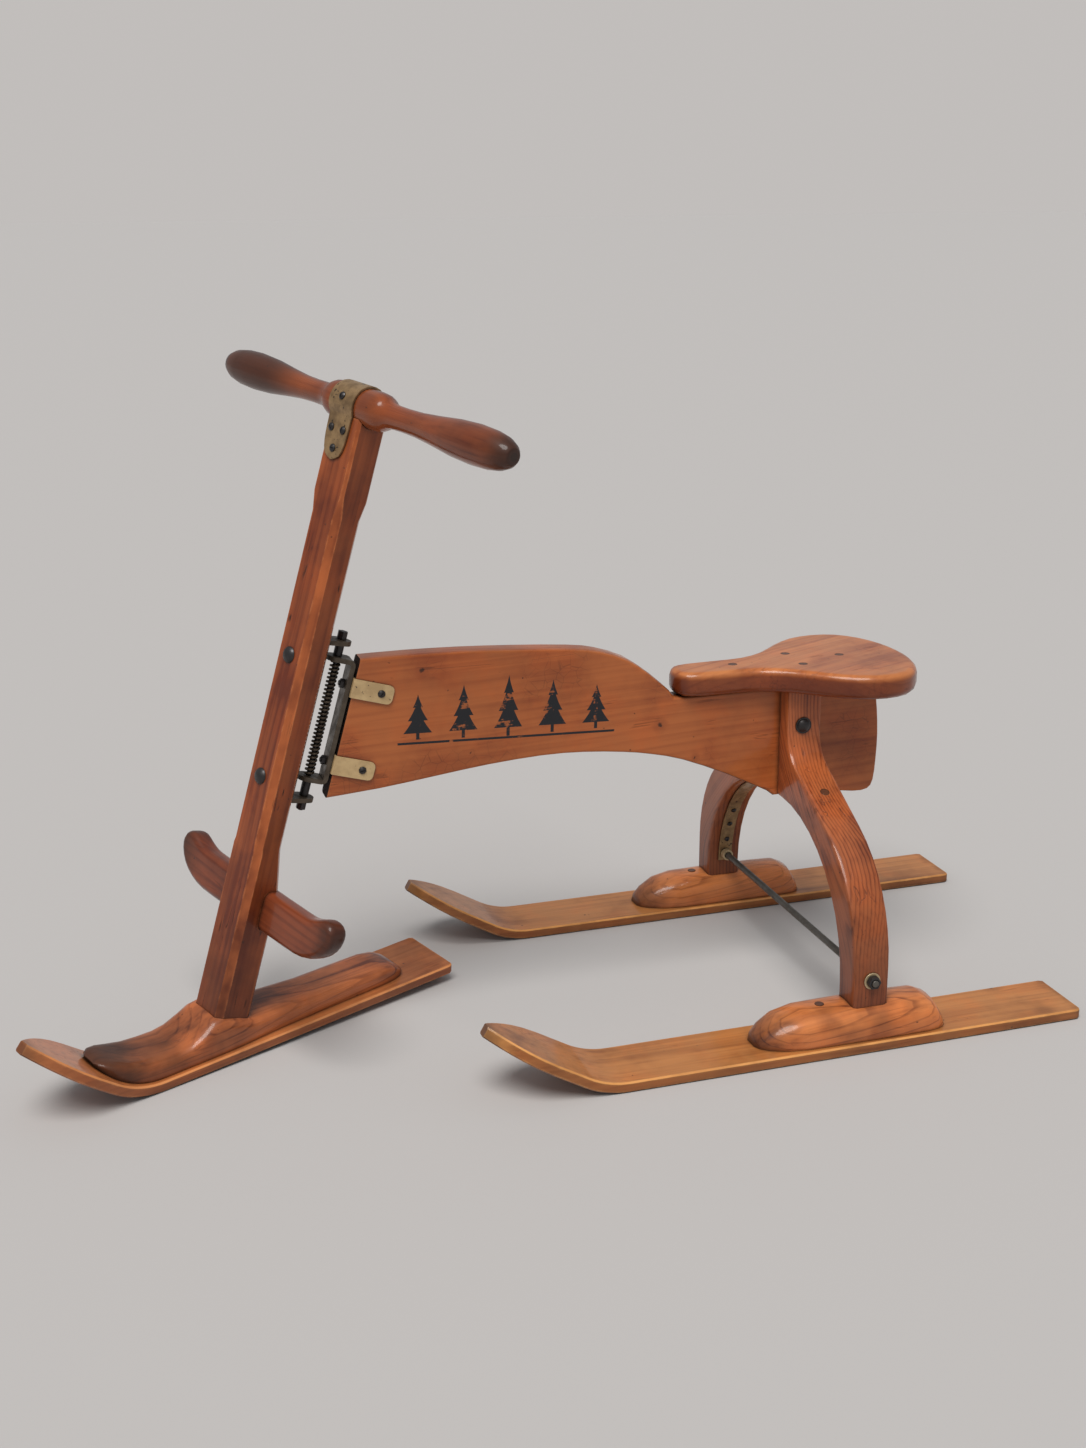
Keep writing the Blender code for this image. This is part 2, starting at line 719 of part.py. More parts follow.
add_placed("right_leg_washer", washer(washer_radius, leg_bolt_bore, 0, washer_thickness),
           origin, grey_steel, right_bolt_place)
leg_bolt_hole = add_cutter("leg_bolt_hole", copies(
    rod(leg_bolt_bore, -washer_seat - past, washer_seat + past),
    [along(leftward, (leg_bolt_x, 0, leg_bolt_height))]), origin)
for wood in (beam, left_leg, right_leg):
    boolean(wood, leg_bolt_hole)


# Steel strip bent into the arch of the legs

def strip_face_at(curve, height):
    """How far out the flats of a curve inside the arch are at a height."""
    for (y_low, z_low), (y_high, z_high) in zip(curve, curve[1:]):
        if z_low <= height <= z_high:
            return y_low + (y_high - y_low) * (height - z_low) / (z_high - z_low)
    return curve[0][0]


def arch_run(radius, low):
    """A run inside the arch, from low on the left leg over to low on the right leg."""
    curve = arc(arch_centre, radius, 0, 90, arch_facets)
    left = [(strip_face_at(curve, low), low)] + [point for point in curve if point[1] > low]
    return left + [(-y, z) for y, z in reversed(left)]


strip_outer = arch_radius - gap
strip_inner = strip_outer - arch_strap_thickness
strip_low = rod_height - arch_strap_end
arch_strap = add("arch_strap", smooth(sheet([
    arch_run(strip_outer, strip_low) + arch_run(strip_inner, strip_low)[::-1]],
    arch_strap_width)), origin, brass, (leg_x, 0, 0), stand_across)


# Tie rod through the feet of the legs and the ends of the strip

rod_bore = rod_radius + hole_clearance
rod_washer_seat = leg_outer + gap
rod_nut_seat = rod_washer_seat + washer_thickness + gap
rod_end = rod_nut_seat + leg_nut_height + bolt_tail
collar_face = strip_face_at(arc(arch_centre, strip_inner, 0, 90, arch_facets),
                            rod_height + collar_radius) - gap
tie_rod_place = along(leftward, (leg_x, 0, rod_height))
add_placed("tie_rod", rod(rod_radius, -rod_end, rod_end), origin, grey_steel, tie_rod_place)
for side, axis in (("left", leftward), ("right", rightward)):
    outward = along(axis, (leg_x, 0, rod_height))
    add_placed(f"{side}_rod_washer", washer(
        washer_radius, rod_bore, rod_washer_seat, rod_washer_seat + washer_thickness),
        origin, brass, outward)
    add_placed(f"{side}_rod_nut", hex_nut(
        leg_nut_radius, rod_bore, rod_nut_seat, rod_nut_seat + leg_nut_height),
        origin, black_steel, outward)
    add_placed(f"{side}_rod_collar", washer(
        collar_radius, rod_bore, collar_face - collar_height, collar_face),
        origin, brass, outward)
rod_hole = add_cutter("rod_hole", copies(
    rod(rod_bore, -leg_outer - past, leg_outer + past), [tie_rod_place]), origin)
for piece in (left_leg, right_leg, arch_strap):
    boolean(piece, rod_hole)


# Skis, each bent from one board

def ski(tail, bend_start, bend_radius, bend_angle, tip_rise):
    """A ski with its sole at z = 0: straight, bent up over an arc, then straight to the tip."""
    path = [(-tail, 0.0, 0.0), (tail_corner - tail, 0.0, 0.0), (0.0, 0.0, 0.0)]
    bend_steps = 8
    for step in range(bend_steps + 1):
        angle = bend_angle * step / bend_steps
        path.append((bend_start + bend_radius * math.sin(angle),
                     bend_radius * (1 - math.cos(angle)), angle))
    x, z, angle = path[-1]
    for share in (0.0, 0.25, 0.45, 0.62, 0.76, 0.88, 0.96, 1.0):
        distance = tip_rise - tip_length * (1 - share)
        if distance > 0.002:
            path.append((x + distance * math.cos(angle), z + distance * math.sin(angle), angle))
    end = Vector(path[-1][:2])
    rings = []
    for index, (x, z, angle) in enumerate(path):
        share = max(0.0, 1 - (end - Vector((x, z))).length / tip_length)
        half = tip_end_width / 2 + (ski_width - tip_end_width) / 2 * (1 - share ** 1.9)
        if index == 0:
            half -= tail_corner * 0.6
        across = [(half, ski_edge), (half, ski_thickness - ski_edge),
                  (half - ski_edge, ski_thickness), (ski_edge - half, ski_thickness),
                  (-half, ski_thickness - ski_edge), (-half, ski_edge), (ski_edge - half, 0),
                  (half - ski_edge, 0)]
        rings.append([(x - height * math.sin(angle), y, z + height * math.cos(angle))
                      for y, height in across])
    return loft(rings)


left_rear_ski = add("left_rear_ski", ski(
    rear_ski_tail, rear_bend_start, rear_bend_radius, rear_bend_angle, rear_tip_rise),
    origin, golden_pine, (leg_x, half_track, 0))
right_rear_ski = add("right_rear_ski", ski(
    rear_ski_tail + right_tail_extra, rear_bend_start, rear_bend_radius, rear_bend_angle,
    rear_tip_rise), origin, golden_pine, (right_ski_x, -half_track, 0))
front_ski = add("front_ski", ski(
    front_ski_tail, front_bend_start, front_bend_radius, front_bend_angle, front_tip_rise),
    front_level, golden_pine, (0, 0, front_sole))


# Rear blocks, with mortises for the feet of the legs and a plug in the top

rear_block_mesh = loft([
    carved_section(x, half, ski_top, ski_thickness + rise, rear_block_squareness)
    for x, half, rise in rear_block_sections])
left_rear_block = add("left_rear_block", rear_block_mesh, origin, red_pine,
                      (leg_x, half_track, 0))
right_rear_block = add("right_rear_block", rear_block_mesh.copy(), origin, red_pine,
                       (right_ski_x, -half_track, 0))
foot_mortise = sheet([rectangle(
    -leg_depth / 2 - gap, leg_depth / 2 + gap, -leg_thickness / 2 - gap, leg_thickness / 2 + gap,
    leg_edge_round + gap)], cutter_reach, leg_foot_height - gap + cutter_reach / 2)
left_mortise = add_cutter("left_mortise", foot_mortise, origin, (leg_x, half_track, 0))
right_mortise = add_cutter("right_mortise", foot_mortise.copy(), origin, (leg_x, -half_track, 0))
boolean(left_rear_block, left_mortise)
boolean(right_rear_block, right_mortise)

block_top = ski_thickness + max(rise for x, half, rise in rear_block_sections)
left_plug_place = along(up, (leg_x + block_plug_forward, half_track, block_top))
right_plug_place = along(up, (right_ski_x + block_plug_forward, -half_track, block_top))
block_plug = rod(plug_radius, -block_plug_depth, 0)
add_placed("left_block_plug", block_plug, origin, plug_wood, left_plug_place)
add_placed("right_block_plug", block_plug.copy(), origin, plug_wood, right_plug_place)
block_plug_holes = add_cutter("block_plug_holes", copies(
    rod(plug_radius + gap, -block_plug_depth - gap, past), [left_plug_place, right_plug_place]),
    origin)
for wood in (left_rear_block, right_rear_block):
    boolean(wood, block_plug_holes)


# C-shaped brackets of the hinge, bent from flat bar, with round ears on the pin

def c_bracket(back, toward, low, high, width):
    """Its plate's outer face at s = back, its ears reaching toward the pin and round it."""
    reach = abs(back) + width / 2 + past
    bend = bracket_bend
    thick = bracket_thickness
    side = ([(reach, low)] + arc((bend, low + bend), bend, 270, 180, 3)
            + arc((bend, high - bend), bend, 180, 90, 3)
            + [(reach, high), (reach, high - thick), (thick, high - thick), (thick, low + thick),
               (reach, low + thick)])
    blank = sheet([[(back + toward * x, u) for x, u in side]], width + past)
    blank.transform(Matrix.Rotation(math.pi / 2, 4, "X"))
    around = 270 if toward > 0 else 90
    plan = arc((0, 0), width / 2, around, around + 180, 10)
    far = back - toward * past
    plan += [(far, plan[-1][1]), (far, plan[0][1])]
    return combined(blank, sheet([plan], high - low + 2 * past, (low + high) / 2), "INTERSECT")


beam_bracket_back = -(bracket_back_clearance + bracket_thickness)
post_bracket_back = post_rear - gap
beam_bracket = add("beam_hinge_bracket", c_bracket(
    beam_bracket_back, 1, beam_ear_low, beam_ear_high, beam_bracket_width), hinge, worn_steel)
post_bracket = add("post_hinge_bracket", c_bracket(
    post_bracket_back, -1, post_ear_low, post_ear_high, post_bracket_width), steering, worn_steel)
pin_bore = pin_radius + hole_clearance
pin_hole = add_cutter("pin_hole", rod(pin_bore, post_ear_low - past, post_ear_high + past), hinge)
boolean(beam_bracket, pin_hole)
boolean(post_bracket, pin_hole)


# Hinge pin with its nut, and the sleeves between the ears

pin_nut_top = post_ear_low - gap
pin_nut_low = pin_nut_top - pin_nut_height
pin_head_low = post_ear_high + gap
add("hinge_pin", combined(
    rod(pin_radius, pin_nut_low - pin_tail, pin_head_low + pin_head_height / 2),
    hexagon(pin_head_radius, pin_head_low, pin_head_low + pin_head_height), "UNION"),
    steering, black_steel)
add("hinge_pin_nut", hex_nut(pin_head_radius, pin_bore, pin_nut_low, pin_nut_top),
    steering, black_steel)
add("upper_hinge_sleeve", washer(
    sleeve_radius, pin_bore, beam_ear_high + gap, post_ear_high - bracket_thickness - gap),
    steering, grey_steel)
add("lower_hinge_sleeve", washer(
    sleeve_radius, pin_bore, post_ear_low + bracket_thickness + gap, beam_ear_low - gap),
    steering, grey_steel)


# Coil spring round the pin

def spring_path(low, high):
    """One wire: a straight end square to each ear, and the curls between."""
    stub = 2 * spring_wire
    bend = 1.2 * spring_wire
    curl_low = low + stub + bend
    curl_high = high - stub - bend
    steps = spring_curls * points_per_curl
    lead = 0.4 * 2 * math.pi / points_per_curl
    points = [(spring_radius, 0, low), (spring_radius, 0, low + stub)]
    for step in range(steps + 1):
        angle = lead + 2 * math.pi * step / points_per_curl
        height = curl_low + (curl_high - curl_low) * step / steps
        points.append((spring_radius * math.cos(angle), spring_radius * math.sin(angle), height))
    last = 2 * lead + 2 * math.pi * steps / points_per_curl
    for height in (high - stub, high):
        points.append((spring_radius * math.cos(last), spring_radius * math.sin(last), height))
    return points


def least_gap(points):
    """The least clear distance between stretches of the wire half a curl or more apart."""
    fine = []
    for start, end in zip(points, points[1:]):
        for step in range(4):
            fine.append(Vector(start).lerp(Vector(end), step / 4))
    apart = 2 * points_per_curl
    least = min((fine[index] - fine[other]).length
                for index in range(len(fine))
                for other in range(index + apart, min(index + 4 * apart, len(fine))))
    return least - 2 * spring_wire


spring_points = spring_path(beam_ear_low + bracket_thickness + gap,
                            beam_ear_high - bracket_thickness - gap)
print(f"spring: least gap between curls {least_gap(spring_points) * 1000:.2f} mm")
spring_curve = bpy.data.curves.new("hinge_spring", "CURVE")
spring_curve.dimensions = "3D"
spring_curve.bevel_depth = spring_wire
spring_curve.bevel_resolution = 1
spring_curve.use_fill_caps = True
spring_spline = spring_curve.splines.new("POLY")
spring_spline.points.add(len(spring_points) - 1)
for spring_point, place in zip(spring_spline.points, spring_points):
    spring_point.co = (*place, 1.0)
add("hinge_spring", smooth(welded(evaluated(loose(spring_curve)))), hinge, worn_steel)


# Cream clips round the beam's end, which hold the beam bracket

def clip(middle):
    """A U of flat steel: a web on the beam's end and a plate on each side of the beam."""
    inner = half_beam + gap
    outer = inner + clip_thickness
    corner = clip_thickness
    rear = beam_end - clip_length
    half = clip_height / 2
    overlong = rear - past
    plan = ([(overlong, -inner), (overlong, -outer)]
            + arc((clip_front - corner, corner - outer), corner, 270, 360, 2)
            + arc((clip_front - corner, outer - corner), corner, 0, 90, 2)
            + [(overlong, outer), (overlong, inner), (clip_front - clip_thickness, inner),
               (clip_front - clip_thickness, -inner)])
    side = sheet([
        arc((rear + clip_corner, middle + half - clip_corner), clip_corner, 90, 180, 3)
        + arc((rear + clip_corner, middle - half + clip_corner), clip_corner, 180, 270, 3)
        + [(clip_front + past, middle - half), (clip_front + past, middle + half)]],
        2 * (outer + past))
    side.transform(Matrix.Rotation(math.pi / 2, 4, "X"))
    return combined(sheet([plan], clip_height + past, middle), side, "INTERSECT")


lower_clip = add("lower_beam_clip", clip(clip_low), hinge, cream_paint)
upper_clip = add("upper_beam_clip", clip(clip_high), hinge, cream_paint)

clip_nut_seat = gap - bracket_back_clearance
stud_rear = beam_end - clip_stud_depth
stud_front = clip_nut_seat + clip_nut_height + clip_stud_tail
clip_stud_places = [along(ahead, (0, 0, clip_low)), along(ahead, (0, 0, clip_high))]
for name, place in zip(("lower", "upper"), clip_stud_places):
    add_placed(f"{name}_clip_stud", rod(pin_radius, stud_rear, stud_front, 8), hinge,
               grey_steel, place)
    add_placed(f"{name}_clip_nut", hex_nut(
        clip_nut_radius, pin_bore, clip_nut_seat, clip_nut_seat + clip_nut_height), hinge,
        black_steel, place)
stud_holes = add_cutter("stud_holes", copies(
    rod(pin_bore, stud_rear - hole_clearance, 0.0, 8), clip_stud_places), hinge)

clip_side = half_beam + gap + clip_thickness + gap
clip_screw_x = beam_end - clip_screw_back
clip_screw_places = {
    "lower_left_clip_screw": along(leftward, (clip_screw_x, clip_side, clip_low)),
    "lower_right_clip_screw": along(rightward, (clip_screw_x, -clip_side, clip_low)),
    "upper_left_clip_screw": along(leftward, (clip_screw_x, clip_side, clip_high)),
    "upper_right_clip_screw": along(rightward, (clip_screw_x, -clip_side, clip_high))}
for name, place in clip_screw_places.items():
    add_placed(name, round_screw(), hinge, grey_steel, place)
screw_hole = rod(screw_radius + hole_clearance, -screw_length - hole_clearance,
                 screw_head_radius, 8)
clip_screw_holes = add_cutter("clip_screw_holes", copies(
    screw_hole, clip_screw_places.values()), hinge)
for piece in (beam, lower_clip, upper_clip):
    boolean(piece, clip_screw_holes)
for piece in (beam, lower_clip, upper_clip, beam_bracket):
    boolean(piece, stud_holes)


# Steering post

def post_section(u, rear, front, half_width, edge=post_edge):
    return [(s, y, u) for s, y in rectangle(rear, front, -half_width, half_width, edge, 1)]


post = add("steering_post", loft([
    post_section(post_bottom, foot_rear, post_front, foot_half_width),
    post_section(foot_taper_low, foot_rear, post_front, foot_half_width),
    post_section(foot_taper_high - foot_step, post_rear, post_front, foot_half_width),
    post_section(foot_taper_high, post_rear, post_front, post_half_width),
    post_section(head_taper_low, post_rear, post_front, post_half_width),
    post_section((head_taper_low + head_taper_high) / 2, (post_rear + head_rear) / 2,
                 (post_front + head_front) / 2, (post_half_width + head_half_width) / 2,
                 (post_edge + head_edge) / 2),
    post_section(head_taper_high, head_rear, head_front, head_half_width, head_edge),
    post_section(post_top, head_rear, head_front, head_half_width, head_edge)]),
    steering, red_pine)
saddle_half = head_half_width + past
bar_saddle = add_cutter("bar_saddle", rod(bead_radius + gap, -saddle_half, saddle_half, 24),
                        steering, (bar_s, 0, bar_u), (math.pi / 2, 0, 0))
boolean(post, bar_saddle)


# Carriage bolts through the post and its bracket

bracket_face = post_bracket_back - bracket_thickness
carriage_length = post_front - bracket_face + 2 * gap + carriage_nut_height + carriage_tail
carriage_bore = carriage_bolt_radius + hole_clearance
for name, height in (("lower", carriage_low), ("upper", carriage_high)):
    add_placed(f"{name}_carriage_bolt", domed_bolt(
        carriage_head_radius, carriage_bolt_radius, carriage_length), steering, black_steel,
        along(ahead, (post_front + gap, 0, height)))
    add_placed(f"{name}_carriage_nut", hex_nut(
        carriage_nut_radius, carriage_bore, 0, carriage_nut_height), steering, black_steel,
        along(behind, (bracket_face - gap, 0, height)))
carriage_holes = add_cutter("carriage_holes", copies(
    rod(carriage_bore, -carriage_length, past),
    [along(ahead, (post_front, 0, carriage_low)), along(ahead, (post_front, 0, carriage_high))]),
    steering)
boolean(post, carriage_holes)
boolean(post_bracket, carriage_holes)


# Handlebar

def bar_profile():
    left = [(0, bar_half_profile[0][0])] + [(radius, y) for y, radius in bar_half_profile]
    middle = [(bead_radius, bead_half_length), (bead_radius, -bead_half_length)]
    right = [(radius, -y) for radius, y in reversed(left)]
    return left + middle + right


handlebar = add("handlebar", turned(bar_profile(), 24), steering, red_pine,
                (bar_s, 0, bar_u), (math.pi / 2, 0, 0))


# Strap over the handlebar, screwed to the front of the post and into the bead

def strap_run(offset):
    """A run over the bead from the front of the post to its back, at an offset outward."""
    radius = bead_radius + gap + offset
    front = head_front + gap + offset
    rear = head_rear - gap - offset
    low = bar_u + strap_half_outline[-1][1] - past
    leaves = math.degrees(math.acos(min(1.0, (front - bar_s) / radius)))
    under = max(0, int(leaves / strap_facet - 0.6))
    flats = int(180 / strap_facet) + under
    run = [(front, low), (front, bar_u - radius * math.sin(math.radians(leaves)))]
    run += arc((bar_s, bar_u), radius, -strap_facet * (under + 0.5), 180 - strap_facet / 2, flats)
    return run + [(bar_s - radius, bar_u), (rear, post_top - strap_rear_bend), (rear, low)]


strap_side = [(y, bar_u + z) for y, z in through(strap_half_outline, 2)]
strap_form = sheet([strap_side + [(-y, z) for y, z in strap_side[-2::-1]]],
                   2 * (bead_radius + strap_thickness + past))
strap_form.transform(Matrix.Rotation(math.pi / 2, 4, "Z") @ Matrix.Rotation(math.pi / 2, 4, "X"))
strap_form.transform(Matrix.Translation((bar_s, 0, 0)))
strap_blank = sheet([strap_run(0.0) + strap_run(strap_thickness)[::-1]],
                    2 * (strap_half_outline[0][0] + past))
strap_blank.transform(Matrix.Rotation(math.pi / 2, 4, "X"))
strap = add("clamp_strap", combined(strap_blank, strap_form, "INTERSECT"), steering, brass,
            (0, strap_shift, 0))

bead_angle = math.radians(strap_facet)
bead_seat = (bead_radius + gap + strap_thickness) * math.cos(bead_angle / 2) + gap
strap_face = head_front + gap + strap_thickness + gap
pair_z = bar_u + strap_pair_height
strap_screw_places = {
    "left_strap_screw": along(ahead, (strap_face, strap_shift + strap_pair_spread, pair_z)),
    "right_strap_screw": along(ahead, (strap_face, strap_shift - strap_pair_spread, pair_z)),
    "low_strap_screw": along(ahead, (strap_face, strap_shift, bar_u + strap_low_screw_height)),
    "bead_strap_screw": along(
        (math.cos(bead_angle), 0, math.sin(bead_angle)),
        (bar_s + bead_seat * math.cos(bead_angle), strap_shift,
         bar_u + bead_seat * math.sin(bead_angle)))}
for name, place in strap_screw_places.items():
    add_placed(name, round_screw(), steering, grey_steel, place)
strap_screw_holes = add_cutter("strap_screw_holes", copies(
    screw_hole, strap_screw_places.values()), steering)
for piece in (strap, post, handlebar):
    boolean(piece, strap_screw_holes)


# Footrest bar in the back of the post

def footrest_outline(extra):
    """The bar from behind, made larger by the extra all round."""
    left = through([(footrest_straight, 0.0)] + footrest_half_outline
                   + [(footrest_straight, footrest_height)], 2)
    middle = footrest_height / 2
    grown = [(y, z + math.copysign(extra, z - middle)) for y, z in left]
    return grown + [(-y, z) for y, z in reversed(grown)]


footrest_place = (footrest_front - footrest_depth / 2, 0, footrest_u)
footrest = add("footrest_bar", smooth(sheet([footrest_outline(0.0)], footrest_depth)), steering,
               red_pine, footrest_place, stand_across)
footrest_dado = add_cutter("footrest_dado", sheet(
    [footrest_outline(gap)], footrest_depth + 2 * gap), steering, footrest_place, stand_across)
for shape in (footrest, footrest_dado):
    rounded(shape, footrest_edge_round, 3)
boolean(post, footrest_dado)


# Front block, carved to follow the upturn of the ski, with a mortise for the post

def front_ski_top(x):
    """Height of the ski's upper face over its sole."""
    into_bend = x - front_bend_start
    if into_bend <= 0:
        return ski_thickness
    upper_radius = front_bend_radius - ski_thickness
    return front_bend_radius - math.sqrt(upper_radius ** 2 - into_bend ** 2)


front_block = add("front_block", loft([
    carved_section(x, half, front_ski_top(x) + gap, front_ski_top(x) + rise,
                   front_block_squareness)
    for x, half, rise in front_block_sections]), front_level, red_pine, (0, 0, front_sole))
post_mortise = add_cutter("post_mortise", sheet([rectangle(
    foot_rear - gap, post_front + gap, -foot_half_width - gap, foot_half_width + gap,
    post_edge, 1)], cutter_reach, post_bottom - gap + cutter_reach / 2), steering)
boolean(front_block, post_mortise)


# The origin goes to the middle of the footprint

bpy.context.view_layer.update()
ski_ends = [(ski_piece.matrix_world @ vertex.co).x for ski_piece in (front_ski, right_rear_ski)
            for vertex in ski_piece.data.vertices]
origin.location.x = -(min(ski_ends) + max(ski_ends)) / 2
bpy.context.view_layer.update()
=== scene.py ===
"""Looks of the wooden snow tricycle: varnished pine, dull brass, cream paint and old steel.

The pieces come in the order in which the trike is put together: beam, legs, seat, rear skis,
hinge, steering post, handlebar, footrest bar and front ski. The floor, the lamp and the camera
come last. Metres, +X forward, +Y to the rider's left, +Z up.
"""
import json
import math

import bpy
from mathutils import Euler, Matrix, Vector

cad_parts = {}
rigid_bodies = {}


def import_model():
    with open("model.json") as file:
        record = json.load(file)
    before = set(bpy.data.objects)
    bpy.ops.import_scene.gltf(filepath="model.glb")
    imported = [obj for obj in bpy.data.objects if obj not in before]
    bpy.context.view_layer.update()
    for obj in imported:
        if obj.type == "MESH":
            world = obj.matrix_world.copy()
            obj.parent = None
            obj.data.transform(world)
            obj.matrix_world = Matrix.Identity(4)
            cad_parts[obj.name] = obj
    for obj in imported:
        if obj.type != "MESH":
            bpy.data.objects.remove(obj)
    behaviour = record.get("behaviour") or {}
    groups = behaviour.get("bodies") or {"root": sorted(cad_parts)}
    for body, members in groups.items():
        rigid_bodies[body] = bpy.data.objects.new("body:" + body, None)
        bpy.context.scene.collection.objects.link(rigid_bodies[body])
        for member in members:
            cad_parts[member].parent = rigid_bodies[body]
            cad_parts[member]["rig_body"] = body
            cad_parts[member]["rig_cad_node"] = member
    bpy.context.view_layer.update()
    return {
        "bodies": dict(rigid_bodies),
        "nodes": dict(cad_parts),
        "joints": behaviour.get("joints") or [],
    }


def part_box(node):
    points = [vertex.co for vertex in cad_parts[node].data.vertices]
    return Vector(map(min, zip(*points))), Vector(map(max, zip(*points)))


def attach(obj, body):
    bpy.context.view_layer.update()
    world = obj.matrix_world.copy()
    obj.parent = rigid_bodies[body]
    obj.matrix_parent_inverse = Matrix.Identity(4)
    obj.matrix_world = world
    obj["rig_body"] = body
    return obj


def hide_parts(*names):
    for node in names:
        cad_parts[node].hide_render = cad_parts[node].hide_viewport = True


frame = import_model()


# Beam
# One pine board on edge, sawn to a curve, with eased edges and orange-brown varnish.
# Its front end grain is dark, its faces that look down get painted shade, and a row of small fir
# trees is stencilled on its left side.

def planed(node, name, ease=0.0, smooth_angle=35.0):
    """A finer copy of a sawn or forged piece: whole faces, eased edges, smooth curves."""
    bpy.ops.object.select_all(action="DESELECT")
    frame["nodes"][node].select_set(True)
    bpy.context.view_layer.objects.active = frame["nodes"][node]
    bpy.ops.object.duplicate()
    piece = bpy.context.view_layer.objects.active
    bpy.ops.object.parent_clear(type="CLEAR_KEEP_TRANSFORM")
    piece.name = name
    piece.data.name = name
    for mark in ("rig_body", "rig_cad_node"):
        del piece[mark]
    bpy.ops.mesh.customdata_custom_splitnormals_clear()
    bpy.ops.object.mode_set(mode="EDIT")
    bpy.ops.mesh.select_all(action="SELECT")
    bpy.ops.mesh.remove_doubles(threshold=0.00001)
    bpy.ops.mesh.dissolve_limited(angle_limit=math.radians(0.3))
    bpy.ops.object.mode_set(mode="OBJECT")
    if ease:
        bevel = piece.modifiers.new("eased_edges", "BEVEL")
        bevel.width = ease
        bevel.segments = 3
        bevel.limit_method = "ANGLE"
        bevel.angle_limit = math.radians(40)
        bpy.ops.object.modifier_apply(modifier=bevel.name)
    bpy.ops.object.shade_smooth_by_angle(angle=math.radians(smooth_angle))
    weighted = piece.modifiers.new("flat_faces_stay_flat", "WEIGHTED_NORMAL")
    weighted.keep_sharp = True
    bpy.ops.object.modifier_apply(modifier=weighted.name)
    return piece


def fit(piece, node, surface):
    """Gives a piece its finish and its place on the trike, where it stands for a node."""
    piece.data.materials.clear()
    piece.data.materials.append(surface)
    body = next(name for name, empty in frame["bodies"].items()
                if frame["nodes"][node].parent == empty)
    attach(piece, body)
    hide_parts(node)
    return piece


def shader(tree, kind, inputs=None, **settings):
    """One shader node with its settings, and its inputs as numbers or as other nodes' outputs."""
    made = tree.nodes.new("ShaderNode" + kind)
    for setting, value in settings.items():
        setattr(made, setting, value)
    for socket, value in (inputs or {}).items():
        if isinstance(value, bpy.types.NodeSocket):
            tree.links.new(value, made.inputs[socket])
        else:
            made.inputs[socket].default_value = value
    return made


def number(tree, operation, first, second=0.5, third=0.5):
    """Arithmetic on numbers."""
    return shader(tree, "Math", {0: first, 1: second, 2: third}, operation=operation).outputs[0]


def vector(tree, operation, first, second):
    """Arithmetic on places and directions."""
    made = shader(tree, "VectorMath", {0: first, 1: second}, operation=operation)
    return made.outputs["Value" if operation in ("LENGTH", "DOT_PRODUCT") else "Vector"]


def tint(tree, share, first, second, way="MIX"):
    """The first colour with a share of the second one over it."""
    made = shader(tree, "Mix", {0: share, 6: first, 7: second}, data_type="RGBA", blend_type=way)
    return made.outputs[2]


def ramp(tree, value, low, high, to_low=0.0, to_high=1.0):
    """A smooth step between two values."""
    return shader(tree, "MapRange", {0: value, 1: low, 2: high, 3: to_low, 4: to_high},
                  interpolation_type="SMOOTHSTEP").outputs[0]


def noise(tree, where, scale, detail=2.0, rough=0.5):
    """Cloudy noise, with its outputs for a number and for a colour."""
    return shader(tree, "TexNoise", {"Vector": where, "Scale": scale, "Detail": detail,
                                     "Roughness": rough})


def stretched(tree, board, along, across, detail=2.0):
    """Noise drawn out along the grain, as a number."""
    where = vector(tree, "MULTIPLY", board, (along, across, across))
    return noise(tree, where, 1.0, detail).outputs[0]


def finish(tree, surface, colour, rough, height, ridge, metallic=0.0, coat=0.0, shine=0.5):
    """Gives the surface its colour, roughness, relief and coat of varnish."""
    skin = tree.nodes["Principled BSDF"]
    bump = shader(tree, "Bump", {"Height": height, "Distance": ridge, "Strength": 1.0})
    tree.links.new(colour, skin.inputs["Base Color"])
    tree.links.new(rough, skin.inputs["Roughness"])
    tree.links.new(bump.outputs[0], skin.inputs["Normal"])
    skin.inputs["Metallic"].default_value = metallic
    skin.inputs["Specular IOR Level"].default_value = shine
    skin.inputs["Coat Roughness"].default_value = 0.10
    skin.inputs["Coat IOR"].default_value = 1.4
    if isinstance(coat, bpy.types.NodeSocket):
        tree.links.new(coat, skin.inputs["Coat Weight"])
    else:
        skin.inputs["Coat Weight"].default_value = coat
    return surface


black_brown = (0.022, 0.009, 0.005, 1.0)


def year_lines(tree, board, ring, line):
    """The dark late wood of each year, drawn round the heart with a slow waver."""
    slow = vector(tree, "MULTIPLY", board, (0.35, 1.0, 1.0))
    drift = vector(tree, "SUBTRACT", noise(tree, slow, 5.0).outputs["Color"], (0.5, 0.5, 0.5))
    drift = vector(tree, "MULTIPLY", drift, (0.0, 0.045, 0.045))
    trunk = vector(tree, "MULTIPLY", vector(tree, "ADD", slow, drift), (0.0, 1.0, 1.0))
    years = number(tree, "DIVIDE", vector(tree, "LENGTH", trunk, (0, 0, 0)), ring)
    season = number(tree, "FRACT", years)
    summer, autumn = line
    late = ramp(tree, season, summer, autumn)
    late = number(tree, "MULTIPLY", late, ramp(tree, season, autumn + 0.02, 1.0, 1.0, 0.0))
    return number(tree, "MULTIPLY", late,
                  ramp(tree, stretched(tree, board, 1.6, 16.0), 0.35, 0.65, 0.3, 1.0))


